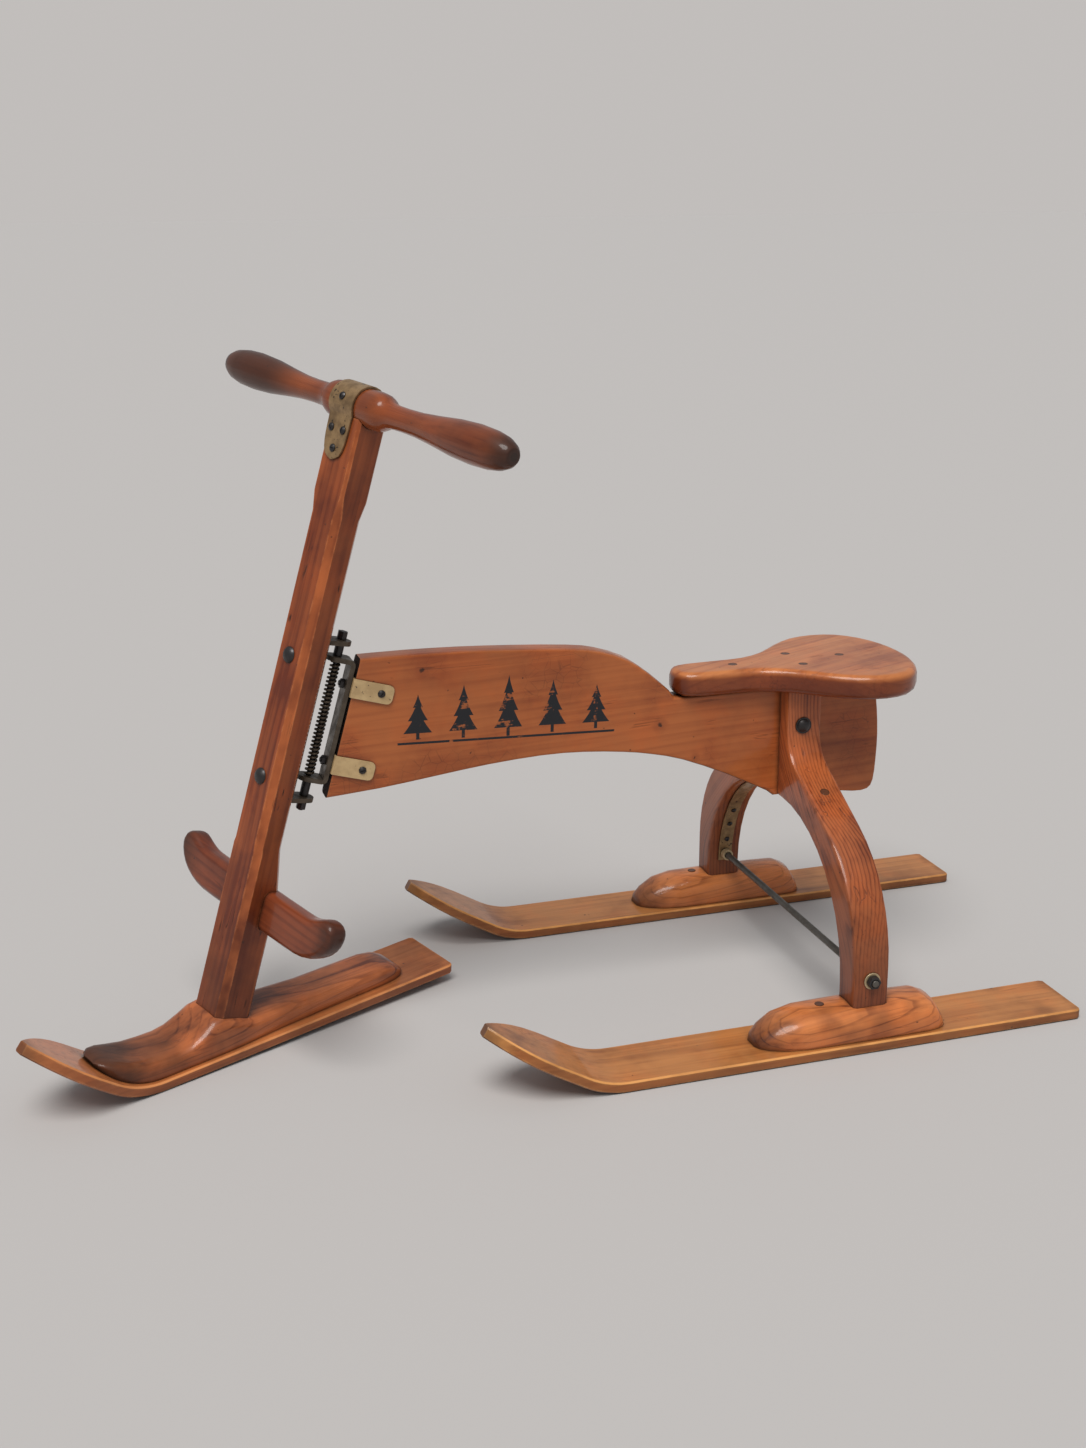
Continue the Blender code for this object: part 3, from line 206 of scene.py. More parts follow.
def loose_knots(tree, spot_place, knots):
    """The hearts and the dark halos of small knots, where `knots` is the share that shows."""
    cell = shader(tree, "TexVoronoi", {"Vector": spot_place, "Scale": 16.0})
    dice = shader(tree, "SeparateColor", {0: cell.outputs["Color"]}).outputs
    chosen = number(tree, "GREATER_THAN", dice[1], 1.0 - knots)
    heartwood = number(tree, "MULTIPLY", chosen,
                       ramp(tree, cell.outputs["Distance"], 0.030, 0.075, 0.8, 0))
    halo = number(tree, "MULTIPLY", chosen,
                  ramp(tree, cell.outputs["Distance"], 0.05, 0.34, 0.5, 0))
    return heartwood, halo


def branch_knots(tree, colour, spot_place, dark, branches):
    """Larger knots at given middles, each with its radius."""
    for middle, radius in branches:
        off = shader(tree, "VectorMath", {0: spot_place, 1: middle}, operation="DISTANCE")
        off = number(tree, "DIVIDE", off.outputs["Value"], radius)
        colour = tint(tree, ramp(tree, off, 1.0, 4.5, 0.50, 0.0), colour, dark)
        colour = tint(tree, ramp(tree, off, 0.45, 1.1, 0.85, 0.0), colour, black_brown)
    return colour


def dented(tree, spot_place):
    """Small dark dents, one in most cells of a coarse net."""
    cell = shader(tree, "TexVoronoi", {"Vector": spot_place, "Scale": 55.0})
    dice = shader(tree, "SeparateColor", {0: cell.outputs["Color"]}).outputs
    return number(tree, "MULTIPLY", ramp(tree, cell.outputs["Distance"], 0.030, 0.080, 1, 0),
                  number(tree, "GREATER_THAN", dice[0], 0.30))


def dried_checks(tree, board, cloud, checks):
    """Fine splits along the grain, in patches."""
    split = number(tree, "SUBTRACT", stretched(tree, board, 2.6, 62.0, 3.0), 0.5)
    split = number(tree, "ABSOLUTE", split)
    check = number(tree, "MULTIPLY", ramp(tree, split, 0.004, 0.015, 1, 0),
                   ramp(tree, cloud, 0.53, 0.63))
    return number(tree, "MULTIPLY", check, checks)


def crazed(tree, place, mottle, crackle):
    """A net of fine cracks in the old varnish, in patches."""
    craze = shader(tree, "TexVoronoi", {"Vector": place, "Scale": 80.0},
                   feature="DISTANCE_TO_EDGE").outputs["Distance"]
    return number(tree, "MULTIPLY", ramp(tree, craze, 0.008, 0.030, crackle, 0),
                  ramp(tree, mottle, 0.50, 0.62))


def worn_edges(tree, place, worn):
    """Sharp edges, where knocks have broken the varnish."""
    flat = shader(tree, "NewGeometry").outputs["Normal"]
    rounded = shader(tree, "Bevel", {"Radius": 0.0030}, samples=4).outputs[0]
    edge = ramp(tree, vector(tree, "DOT_PRODUCT", rounded, flat), 0.996, 0.972)
    broken = ramp(tree, noise(tree, place, 75.0, 3.0).outputs[0], 0.42, 0.60, 0.15, worn)
    return number(tree, "MULTIPLY", edge, broken)


def varnished_pine(name, light, dark, along=(0, 0, 0), heart=(0, 0, 0), ring=0.006,
                   line=(0.35, 0.88), contrast=0.5, run=None, stencil=None, ends=None,
                   rubbed=None, painted_side_shade=0.0, gloss=0.30, checks=0.3, knots=0.45, crackle=0.0,
                   worn=0.0, branches=(), varnish=0.55, bare_ends=False):
    """Pine under old varnish. The grain runs along the X of a frame turned by `along`, round a
    heart that lies off the board. `line` is where a year's dark line starts and is darkest, `run`
    bends the grain, `ends` darkens (stains and paint, and painted shade on the legs, the post and
    the beam's underside), `rubbed` bares, the side shade share darkens what doesn't look up as
    painted shade, `worn` brightens sharp edges, and `branches` are the middles and radii of knots.
    With `bare_ends` the darkened wood has no varnish on it. Corners and gaps between pieces are
    darkened, as grime and painted shade."""
    surface = bpy.data.materials.new(name)
    surface.use_nodes = True
    tree = surface.node_tree
    own = shader(tree, "TexCoord").outputs
    place = own["Object"]
    face = own["Normal"]
    board = shader(tree, "Mapping", {"Vector": run(tree, place) if run else place,
                                     "Location": heart, "Rotation": along},
                   vector_type="TEXTURE").outputs[0]
    streak = stretched(tree, board, 7.0, 230.0, 3.0)
    fibre = stretched(tree, board, 30.0, 900.0)
    smear = stretched(tree, board, 2.2, 30.0, 3.0)
    mottle = noise(tree, place, 9.0, 4.0, 0.6).outputs[0]
    cloud = noise(tree, place, 21.0, 3.0, 0.6).outputs[0]

    late = year_lines(tree, board, ring, line)
    share = number(tree, "MULTIPLY", late, contrast)
    share = number(tree, "ADD", share, ramp(tree, streak, 0.42, 0.75, 0.0, 0.28))
    share = number(tree, "ADD", share, ramp(tree, smear, 0.48, 0.72, 0.0, 0.50))
    share = number(tree, "ADD", share, ramp(tree, mottle, 0.42, 0.70, 0.0, 0.60))
    colour = tint(tree, shader(tree, "Clamp", {0: share}).outputs[0], light, dark)
    colour = tint(tree, ramp(tree, cloud, 0.40, 0.70, 0.0, 0.6), colour,
                  (1.18, 0.98, 0.80, 1.0), "MULTIPLY")

    bent = vector(tree, "SUBTRACT", noise(tree, place, 160.0).outputs["Color"], (0.5, 0.5, 0.5))
    bent = vector(tree, "MULTIPLY", bent, (0.006, 0.006, 0.006))
    spot_place = vector(tree, "ADD", place, bent)
    pit = dented(tree, spot_place)
    check = dried_checks(tree, board, cloud, checks)
    heartwood, halo = loose_knots(tree, spot_place, knots)
    colour = tint(tree, halo, colour, dark)
    colour = tint(tree, number(tree, "MULTIPLY", pit, 0.75), colour, black_brown)
    colour = tint(tree, heartwood, colour, black_brown)
    colour = branch_knots(tree, colour, spot_place, dark, branches)
    colour = tint(tree, check, colour, black_brown)
    if crackle:
        colour = tint(tree, crazed(tree, place, mottle, crackle), colour, black_brown)

    if not run:
        grain_way = tuple(Euler(along).to_matrix() @ Vector((1, 0, 0)))
        facing = number(tree, "ABSOLUTE", vector(tree, "DOT_PRODUCT", face, grain_way))
        colour = tint(tree, ramp(tree, facing, 0.60, 0.95, 0.0, 0.7), colour, dark)
    # Painted shade: faces that don't look up are darkened towards a dull red-brown.
    if painted_side_shade:
        rise = vector(tree, "DOT_PRODUCT", face, (0, 0, 1))
        colour = tint(tree, ramp(tree, rise, -0.05, 0.80, painted_side_shade, 0.0), colour,
                      (0.34, 0.20, 0.17, 1.0), "MULTIPLY")
    if rubbed:
        colour = tint(tree, rubbed(tree, face, cloud), colour,
                      tint(tree, 1.0, light, (1.45, 1.65, 1.7, 1.0), "MULTIPLY"))
    if worn:
        colour = tint(tree, worn_edges(tree, place, worn), colour,
                      tint(tree, 1.0, light, (1.50, 1.90, 2.2, 1.0), "MULTIPLY"))
    # The darkening share: stains and paint, and painted shade for the legs, the post and the beam's
    # underside.
    darkening = ends(tree, place, face) if ends else 0.0
    colour = tint(tree, darkening, colour, black_brown)
    if stencil:
        colour = tint(tree, stencil(tree, place, fibre), colour, (0.009, 0.010, 0.014, 1.0))
    # Grime and painted shade: the wood is darkened within 8 mm of other surfaces, in corners and
    # between pieces.
    crevice_occlusion = shader(tree, "AmbientOcclusion", {"Distance": 0.008}, samples=8)
    crevice_dirt_and_shade = ramp(tree, crevice_occlusion.outputs["AO"], 0.30, 0.90, 0.85, 0.0)
    colour = tint(tree, crevice_dirt_and_shade, colour, black_brown)

    rough = number(tree, "ADD", ramp(tree, mottle, 0.3, 0.8, gloss, gloss + 0.12),
                   ramp(tree, fibre, 0.3, 0.7, 0.0, 0.06))
    rough = number(tree, "ADD", rough, number(tree, "MULTIPLY", check, 0.3))
    rough = number(tree, "MULTIPLY_ADD", darkening, 0.5 if bare_ends else 0.3, rough)
    height = number(tree, "MULTIPLY", streak, 0.35)
    height = number(tree, "ADD", height, number(tree, "MULTIPLY", late, 0.20))
    height = number(tree, "ADD", height, number(tree, "MULTIPLY", mottle, 2.2))
    height = number(tree, "ADD", height, number(tree, "MULTIPLY", cloud, 0.6))
    height = number(tree, "SUBTRACT", height, number(tree, "MULTIPLY", pit, 0.8))
    height = number(tree, "SUBTRACT", height, number(tree, "MULTIPLY", check, 2.0))
    coat = number(tree, "MULTIPLY_ADD", darkening, -varnish, varnish) if bare_ends else varnish
    return finish(tree, surface, colour, rough, height, 0.00022, coat=coat, shine=0.25)


beam_light = (0.470, 0.135, 0.036, 1.0)
beam_dark = (0.260, 0.057, 0.015, 1.0)
beam_knots = (((0.1545, 0.0135, 0.4044), 0.0032), ((-0.1145, 0.0135, 0.3175), 0.0030),
              ((-0.1571, 0.0135, 0.2756), 0.0018))
beam_heart = (0.0, -0.055, 0.12)
fir_middle = (0.060, 0.361)
fir_lean = math.radians(2.0)
fir_pitch = 0.050
fir_height = 0.060
fir_half_width = 0.0165
fir_step_down = 0.008
fir_tiers = 3
fir_trunk_half_width = 0.0018
ground_drop = 0.010
ground_half_width = 0.0013
ground_half_length = 0.122


def fir_row(tree, place, grit):
    """Five fir trees in a row on a thin ground line, the middle one tallest, in worn black paint."""
    flat = shader(tree, "Mapping", {"Vector": place, "Rotation": (0, -fir_lean, 0),
                                    "Location": (fir_middle[0], 0, fir_middle[1])},
                  vector_type="TEXTURE").outputs[0]
    across, side, rise = shader(tree, "SeparateXYZ", {0: flat}).outputs
    count = number(tree, "ROUND", number(tree, "DIVIDE", across, fir_pitch))
    out = number(tree, "ABSOLUTE", count)
    off = number(tree, "ABSOLUTE", number(tree, "SUBTRACT", across,
                                          number(tree, "MULTIPLY", count, fir_pitch)))
    tall = number(tree, "SUBTRACT", fir_height, number(tree, "MULTIPLY", out, fir_step_down))
    high = number(tree, "DIVIDE", number(tree, "ADD", rise, fir_height / 2), tall)
    tier = number(tree, "FRACT", number(tree, "MULTIPLY", high, fir_tiers))
    width = number(tree, "MULTIPLY_ADD", tier, -0.42, 1.0)
    width = number(tree, "MULTIPLY", width, number(tree, "SUBTRACT", 1.0, high))
    width = number(tree, "MULTIPLY", width, fir_half_width)
    inside = number(tree, "LESS_THAN", off, width)
    inside = number(tree, "MULTIPLY", inside, number(tree, "GREATER_THAN", high, 0.02))
    trunk = number(tree, "MULTIPLY", number(tree, "LESS_THAN", off, fir_trunk_half_width),
                   number(tree, "LESS_THAN", number(tree, "ABSOLUTE", high), 0.14))
    firs = number(tree, "MAXIMUM", inside, trunk)
    firs = number(tree, "MULTIPLY", firs, number(tree, "LESS_THAN", out, 2.5))
    firs = number(tree, "MULTIPLY", firs, number(tree, "LESS_THAN", high, 1.0))
    ground = number(tree, "ABSOLUTE", number(tree, "ADD", rise, fir_height / 2 + ground_drop))
    ground = number(tree, "LESS_THAN", ground, ground_half_width)
    middle_off = number(tree, "ABSOLUTE", across)
    ground = number(tree, "MULTIPLY", ground,
                    number(tree, "LESS_THAN", middle_off, ground_half_length))
    paint = number(tree, "MAXIMUM", firs, ground)
    paint = number(tree, "MULTIPLY", paint, number(tree, "GREATER_THAN", side, 0.0))
    scuff = noise(tree, place, 70.0, 4.0, 0.65).outputs[0]
    scuff = number(tree, "ADD", scuff, number(tree, "MULTIPLY", grit, 0.25))
    return number(tree, "MULTIPLY", paint, ramp(tree, scuff, 0.70, 0.78, 1.0, 0.15))


lean = math.radians(15.9)
beam_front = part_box("beam")[1].x


def beam_ends_and_underside_shade(tree, place, face):
    """Dark paint on the end grain behind the hinge, and painted shade on the faces that look down,
    along the sawn lower edge.
    """
    ahead = vector(tree, "DOT_PRODUCT", face, (math.cos(lean), 0, math.sin(lean)))
    along = shader(tree, "SeparateXYZ", {0: place}).outputs[0]
    front = number(tree, "MULTIPLY", ramp(tree, ahead, 0.80, 0.97, 0.0, 1.0),
                   ramp(tree, along, beam_front - 0.060, beam_front - 0.050))
    # Painted shade: faces that look down are darkened.
    below = ramp(tree, vector(tree, "DOT_PRODUCT", face, (0, 0, -1)), 0.25, 0.75, 0.0, 0.6)
    return number(tree, "MAXIMUM", front, below)


beam_pine = varnished_pine("beam_pine", beam_light, beam_dark, along=(0, math.radians(2), 0),
                           heart=beam_heart, ring=0.010, line=(0.30, 0.85), contrast=0.22,
                           stencil=fir_row, ends=beam_ends_and_underside_shade, crackle=0.3, checks=0.35,
                           knots=0.3, worn=0.25, branches=beam_knots, bare_ends=True)
fit(planed("beam", "beam_board"), "beam", beam_pine)


# Legs
# Two legs sawn from thick curved boards, so that the grain follows the curve down to the foot.
# They are bolted to the beam's sides, let into the rear blocks, and darker than the beam, with
# painted shade towards the foot.

leg_light = (0.470, 0.128, 0.040, 1.0)
leg_dark = (0.135, 0.026, 0.009, 1.0)


def down_the_leg(tree, place):
    """Grain along the leg: out from the beam's side, over the shoulder and down to the foot."""
    along, across, rise = shader(tree, "SeparateXYZ", {0: place}).outputs
    middle = ramp(tree, rise, 0.06, 0.335, 0.205, 0.012)
    out = number(tree, "SUBTRACT", number(tree, "ABSOLUTE", across), middle)
    return shader(tree, "CombineXYZ", {0: rise, 1: out, 2: along}).outputs[0]


def leg_foot_shade(tree, place, face):
    """Painted shade, darkest at the foot where the leg stands in its block, fading out towards the
    beam.
    """
    rise = shader(tree, "SeparateXYZ", {0: place}).outputs[2]
    rise = number(tree, "MULTIPLY_ADD", noise(tree, place, 30.0).outputs[0], 0.04, rise)
    return ramp(tree, rise, 0.060, 0.290, 0.50, 0.0)


for side_name, heart, ring, contrast in (("left", (0.1, 0.030, -0.32), 0.0040, 0.65),
                                         ("right", (-0.3, -0.028, -0.23), 0.0043, 0.60)):
    node = side_name + "_leg"
    leg_pine = varnished_pine(node + "_pine", leg_light, leg_dark, heart=heart, ring=ring,
                              line=(0.40, 0.85), contrast=contrast, run=down_the_leg,
                              ends=leg_foot_shade, checks=0.5, worn=0.2)
    fit(planed(node, node + "_board"), node, leg_pine)


# Plugs and dowels
# Short cross-cut pegs of darker wood, glued in over the screws of the seat, legs and blocks.
# Each stands level with the varnish, with a dark ring of glue round it.

plug_light = (0.230, 0.085, 0.034, 1.0)
plug_dark = (0.075, 0.026, 0.013, 1.0)
plug_end_grain = varnished_pine("plug_end_grain", plug_light, plug_dark,
                                along=(0, math.radians(80), 0), heart=(0.004, 0.003, 0),
                                ring=0.0013, contrast=0.8, gloss=0.40, checks=0.1, knots=0.0)
for peg in ("left_leg_dowel", "right_leg_dowel", "front_seat_plug", "rear_seat_plug",
            "left_seat_plug", "right_seat_plug", "left_block_plug", "right_block_plug"):
    fit(planed(peg, peg + "_peg", ease=0.0003), peg, plug_end_grain)


# Seat
# A saddle-shaped board, wide behind and narrow ahead, with well rounded edges. Its top is
# bright orange, and its rounded edge is painted darker red, as shade on the faces that don't look
# up.

seat_light = (0.600, 0.210, 0.066, 1.0)
seat_dark = (0.330, 0.088, 0.026, 1.0)
# Strong painted shade on the seat's edge: faces that don't look up are darkened.
seat_pine = varnished_pine("seat_pine", seat_light, seat_dark, along=(0, 0, math.radians(24)),
                           heart=(-0.24, 0.06, 0.26), ring=0.0105, line=(0.60, 0.90),
                           contrast=0.42, painted_side_shade=0.95, crackle=0.25, gloss=0.26)
fit(planed("seat", "seat_board"), "seat", seat_pine)


# Bolt through the legs
# A steel bolt with a low dome, blackened, with a plain washer under its head and its nut. It
# goes through both legs and the beam.

def old_metal(name, clean, stained, rough, metallic, stain_share=0.5, chips=None):
    """Dull metal with stains, fine scratches, and grime and painted shade in the corners. Paint has
    chips.
    """
    surface = bpy.data.materials.new(name)
    surface.use_nodes = True
    tree = surface.node_tree
    place = shader(tree, "TexCoord").outputs["Object"]
    cloud = noise(tree, place, 85.0, 4.0, 0.6).outputs[0]
    fine = noise(tree, place, 620.0, 3.0, 0.6).outputs[0]
    patch = noise(tree, place, 30.0, 2.0, 0.5).outputs[0]
    scratch = noise(tree, vector(tree, "MULTIPLY", place, (1.0, 8.0, 1.0)), 240.0, 2.0, 0.7)
    share = ramp(tree, number(tree, "MULTIPLY_ADD", patch, 0.5, cloud), 0.55, 1.0)
    colour = tint(tree, number(tree, "MULTIPLY", share, stain_share), clean, stained)
    colour = tint(tree, ramp(tree, fine, 0.64, 0.72, 0.0, 0.6), colour, stained)
    if chips:
        chip = noise(tree, place, 190.0, 3.0, 0.55).outputs[0]
        colour = tint(tree, ramp(tree, chip, 0.655, 0.675, 0.0, 0.9), colour, chips)
    # Grime and painted shade: the metal is darkened within 4 mm of other surfaces, in corners and
    # between pieces.
    crevice_occlusion = shader(tree, "AmbientOcclusion", {"Distance": 0.004}, samples=8)
    crevice_dirt_and_shade = ramp(tree, crevice_occlusion.outputs["AO"], 0.30, 0.85, 0.85, 0.0)
    colour = tint(tree, crevice_dirt_and_shade, colour, (0.012, 0.009, 0.007, 1.0))
    worn = number(tree, "ADD", ramp(tree, cloud, 0.3, 0.7, rough - 0.08, rough + 0.14),
                  ramp(tree, fine, 0.4, 0.8, 0.0, 0.10))
    height = number(tree, "ADD", cloud, number(tree, "MULTIPLY", scratch.outputs[0], 0.3))
    return finish(tree, surface, colour, worn, height, 0.00012, metallic)


blackened = old_metal("blackened_steel", (0.050, 0.047, 0.048, 1), (0.020, 0.014, 0.011, 1),
                      rough=0.36, metallic=0.60)
dull_steel = old_metal("dull_steel", (0.150, 0.140, 0.125, 1), (0.055, 0.045, 0.035, 1),
                       rough=0.42, metallic=0.75)
fit(planed("leg_bolt", "leg_bolt_forging", ease=0.0004, smooth_angle=50), "leg_bolt", blackened)
fit(planed("leg_bolt_nut", "leg_bolt_hex_nut", ease=0.0006), "leg_bolt_nut", blackened)
for disc in ("left_leg_washer", "right_leg_washer"):
    fit(planed(disc, disc + "_disc", ease=0.0003), disc, blackened)


# Strip inside the arch
# Flat brass-coloured strip bent to the arch of the legs, now brown and dull, with three round
# screws in each leg, each in the middle of a facet. The tie rod passes through its ends.

khaki_brass = old_metal("khaki_brass", (0.400, 0.250, 0.118, 1), (0.150, 0.088, 0.040, 1),
                        rough=0.34, metallic=0.40, stain_share=0.85,
                        chips=(0.030, 0.020, 0.012, 1))
fit(planed("arch_strap", "arch_strip", ease=0.0006), "arch_strap", khaki_brass)
saw_length = 0.014


def saw_slot(screw, pole, outward, turn, width=0.0011, depth=0.0011):
    """Saws a slot across the head of a screw, at the top of its dome."""
    around = Vector((0, 0, 1)).rotation_difference(Vector(outward))
    bpy.ops.object.select_all(action="DESELECT")
    bpy.ops.mesh.primitive_cube_add(size=1, location=pole)
    saw = bpy.context.view_layer.objects.active
    saw.rotation_euler = (around @ Euler((0, 0, turn)).to_quaternion()).to_euler()
    saw.scale = (saw_length, width, depth * 2)
    bpy.context.view_layer.update()
    slot = screw.modifiers.new("slot", "BOOLEAN")
    slot.object = saw
    slot.solver = "EXACT"
    bpy.ops.object.select_all(action="DESELECT")
    screw.select_set(True)
    bpy.context.view_layer.objects.active = screw
    bpy.ops.object.modifier_apply(modifier=slot.name)
    bpy.ops.mesh.customdata_custom_splitnormals_clear()
    bpy.ops.object.shade_smooth_by_angle(angle=math.radians(40))
    bpy.data.objects.remove(saw, do_unlink=True)


head_radius = 0.0032
head_dome = 0.55
bpy.ops.object.select_all(action="DESELECT")
bpy.ops.mesh.primitive_uv_sphere_add(segments=24, ring_count=16, radius=head_radius)
arch_screw = bpy.context.view_layer.objects.active
bpy.ops.object.mode_set(mode="EDIT")
bpy.ops.mesh.select_all(action="SELECT")
bpy.ops.mesh.bisect(plane_co=(0, 0, 0), plane_no=(0, 0, 1), use_fill=True, clear_inner=True)
bpy.ops.mesh.select_all(action="SELECT")
bpy.ops.transform.resize(value=(1, 1, head_dome))
bpy.ops.object.mode_set(mode="OBJECT")
saw_slot(arch_screw, (0, 0, head_radius * head_dome), (0, 0, 1), turn=0.5, width=0.0008,
         depth=0.0009)

strip_low, strip_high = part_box("arch_strap")
leg_x = (strip_low.x + strip_high.x) / 2
arch_middle = (0.022, 0.058)
arch_facet = math.radians(9)
strip_radius = 0.1572
strip_reach = strip_radius * math.cos(arch_facet / 2)
for side, side_name in ((1, "left"), (-1, "right")):
    for count in (1, 2, 3):
        angle = arch_facet * (count + 0.5)
        outward = Vector((0, side * math.cos(angle), math.sin(angle)))
        spot = Vector((leg_x, side * arch_middle[0], arch_middle[1])) + outward * strip_reach
        turned = Vector((0, 0, 1)).rotation_difference(-outward).to_matrix().to_4x4()
        turned = turned @ Matrix.Rotation(0.8 * count, 4, "Z")
        screw = arch_screw.copy()
        screw.data = arch_screw.data.copy()
        screw.name = f"{side_name}_arch_screw_{count}"
        bpy.context.scene.collection.objects.link(screw)
        screw.data.transform(Matrix.Translation(spot) @ turned)
        screw.data.materials.clear()
        screw.data.materials.append(blackened)
        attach(screw, "rear_frame")
bpy.data.objects.remove(arch_screw, do_unlink=True)


# Tie rod
# A threaded steel rod between the feet of the legs, with a brass collar inside each leg and a
# washer and a nut outside.

fit(planed("tie_rod", "tie_rod_bar", ease=0.0008, smooth_angle=40), "tie_rod", dull_steel)
pale_brass = old_metal("pale_brass", (0.640, 0.500, 0.300, 1), (0.260, 0.175, 0.090, 1),
                       rough=0.30, metallic=0.45, stain_share=0.6)
for side_name in ("left", "right"):
    for part, surface in (("rod_washer", pale_brass), ("rod_collar", pale_brass),
                          ("rod_nut", blackened)):
        node = f"{side_name}_{part}"
        fit(planed(node, node + "_fitting", ease=0.0005), node, surface)


# Rear skis
# Bent from one board each, golden-brown and worn, with pale rubbed edges, dark tips and painted
# shade on their sides. Each is screwed to its block from below.

ski_light = (0.540, 0.215, 0.062, 1.0)
ski_dark = (0.250, 0.085, 0.022, 1.0)


def ski_pine(name, light, dark, tip_x, tail_x, turn, heart):
    """Golden pine with grain along the ski, stained at its tip and tail, with rubbed edges and
    painted shade on the faces that don't look up.
    `tip_x` and `tail_x` are where the ends lie, measured along the ski."""
    way = Euler((0, 0, turn)).to_matrix() @ Vector((1, 0, 0))
    side = Euler((0, 0, turn)).to_matrix() @ Vector((0, 1, 0))

    def darkening(tree, place, face):
        along = vector(tree, "DOT_PRODUCT", place, tuple(way))
        ragged = number(tree, "MULTIPLY_ADD", noise(tree, place, 45.0, 3.0).outputs[0], 0.03,
                        along)
        tip = ramp(tree, ragged, tip_x - 0.012, tip_x + 0.016, 0.0, 0.6)
        return number(tree, "MAXIMUM", tip,
                      ramp(tree, ragged, tail_x + 0.026, tail_x + 0.012, 0.0, 0.35))

    def rubbed_edges(tree, face, cloud):
        sideways = number(tree, "ABSOLUTE", vector(tree, "DOT_PRODUCT", face, tuple(side)))
        upward = ramp(tree, vector(tree, "DOT_PRODUCT", face, (0, 0, 1)), 0.15, 0.40)
        corner = number(tree, "MULTIPLY", ramp(tree, sideways, 0.35, 0.55),
                        ramp(tree, sideways, 0.82, 0.92, 1.0, 0.0))
        corner = number(tree, "MULTIPLY", corner, upward)
        return number(tree, "MULTIPLY", corner, ramp(tree, cloud, 0.35, 0.6, 0.35, 0.9))

    # Painted shade on the sides and the underside: faces that don't look up are darkened.
    return varnished_pine(name, light, dark, along=(0, 0, turn), heart=heart, ring=0.0085,
                          line=(0.35, 0.85), contrast=0.24, ends=darkening, rubbed=rubbed_edges,
                          painted_side_shade=0.55, gloss=0.34, checks=0.25, worn=0.5)


for side_name, heart in (("left", (0.0, 0.235, -0.05)), ("right", (0.3, -0.150, -0.06))):
    node = side_name + "_rear_ski"
    low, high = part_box(node)
    fit(planed(node, node + "_board"), node,
        ski_pine(node + "_pine", ski_light, ski_dark, high.x, low.x, 0.0, heart))


# Rear blocks
# Carved from solid pine like half loaves, so that the rings show as rising contour lines.
# Their noses are dark, their sides get painted shade, and the feet of the legs stand in them.

block_light = (0.700, 0.235, 0.072, 1.0)
block_dark = (0.160, 0.042, 0.016, 1.0)


def block_pine(name, node, heart):
    """Pine of a rear block, with a dark nose and painted shade on the faces that don't look up."""
    block_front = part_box(node)[1].x

    def dark_nose(tree, place, face):
        along = shader(tree, "SeparateXYZ", {0: place}).outputs[0]
        along = number(tree, "MULTIPLY_ADD", noise(tree, place, 30.0).outputs[0], 0.04, along)
        return ramp(tree, along, block_front - 0.026, block_front + 0.012, 0.0, 0.60)

    # Painted shade on the sides: faces that don't look up are darkened.
    return varnished_pine(name, block_light, block_dark,
                          along=(0, math.radians(5), math.radians(3)), heart=heart,
                          ring=0.0062, line=(0.74, 0.93), contrast=0.60, ends=dark_nose,
                          painted_side_shade=0.35, gloss=0.24)


fit(planed("left_rear_block", "left_block_carving"), "left_rear_block",
    block_pine("left_block_pine", "left_rear_block", (-0.28, 0.150, -0.090)))
fit(planed("right_rear_block", "right_block_carving"), "right_rear_block",
    block_pine("right_block_pine", "right_rear_block", (-0.28, -0.240, -0.080)))


# Hinge
# Two C brackets bent from flat bar, one inside the other, on a bolt. A coil spring goes round
# the bolt, and two cream painted clips hold the inner bracket to the end of the beam.

axis_low = Vector(frame["joints"][0]["pos_m"])
axis_way = Vector(frame["joints"][0]["axis"]).normalized()
rest_turn = math.radians(26.0)
post_turn = Matrix.Rotation(rest_turn, 3, axis_way) @ Matrix.Rotation(-lean, 3, "Y")
spring_wire = 0.00140
spring_radius = 0.00425
spring_curls = 28

olive_steel = old_metal("olive_steel", (0.105, 0.080, 0.055, 1), (0.045, 0.031, 0.020, 1),
                        rough=0.42, metallic=0.30, stain_share=0.8)
spring_steel = old_metal("spring_steel", (0.105, 0.078, 0.052, 1), (0.032, 0.022, 0.014, 1),
                         rough=0.36, metallic=0.50, stain_share=0.8)
cream = old_metal("cream_paint", (0.610, 0.430, 0.215, 1), (0.300, 0.185, 0.085, 1),
                  rough=0.42, metallic=0.05, chips=(0.045, 0.030, 0.018, 1))
for node, name in (("beam_hinge_bracket", "beam_c_bracket"),
                   ("post_hinge_bracket", "post_c_bracket")):
    fit(planed(node, name, ease=0.0013), node, olive_steel)
for level, slot_turn in (("lower", 0.2), ("upper", 0.9)):
    clip = level + "_beam_clip"
    stud = level + "_clip_stud"
    nut = level + "_clip_nut"
    sleeve = level + "_hinge_sleeve"
    fit(planed(clip, level + "_cream_clip", ease=0.0005), clip, cream)
    fit(planed(stud, level + "_clip_bolt", ease=0.0004, smooth_angle=50), stud, blackened)
    fit(planed(nut, level + "_clip_hex_nut", ease=0.0005), nut, blackened)
    fit(planed(sleeve, level + "_spacer", ease=0.0004, smooth_angle=50), sleeve, blackened)
    for side, side_name in ((1, "left"), (-1, "right")):
        node = f"{level}_{side_name}_clip_screw"
        screw = planed(node, node + "_head", smooth_angle=50)
        pole = max((corner.co for corner in screw.data.vertices), key=lambda co: side * co.y)
        saw_slot(screw, pole.copy(), (0, side, 0), slot_turn)
        fit(screw, node, blackened)
fit(planed("hinge_pin", "hinge_bolt", ease=0.0006, smooth_angle=50), "hinge_pin", blackened)
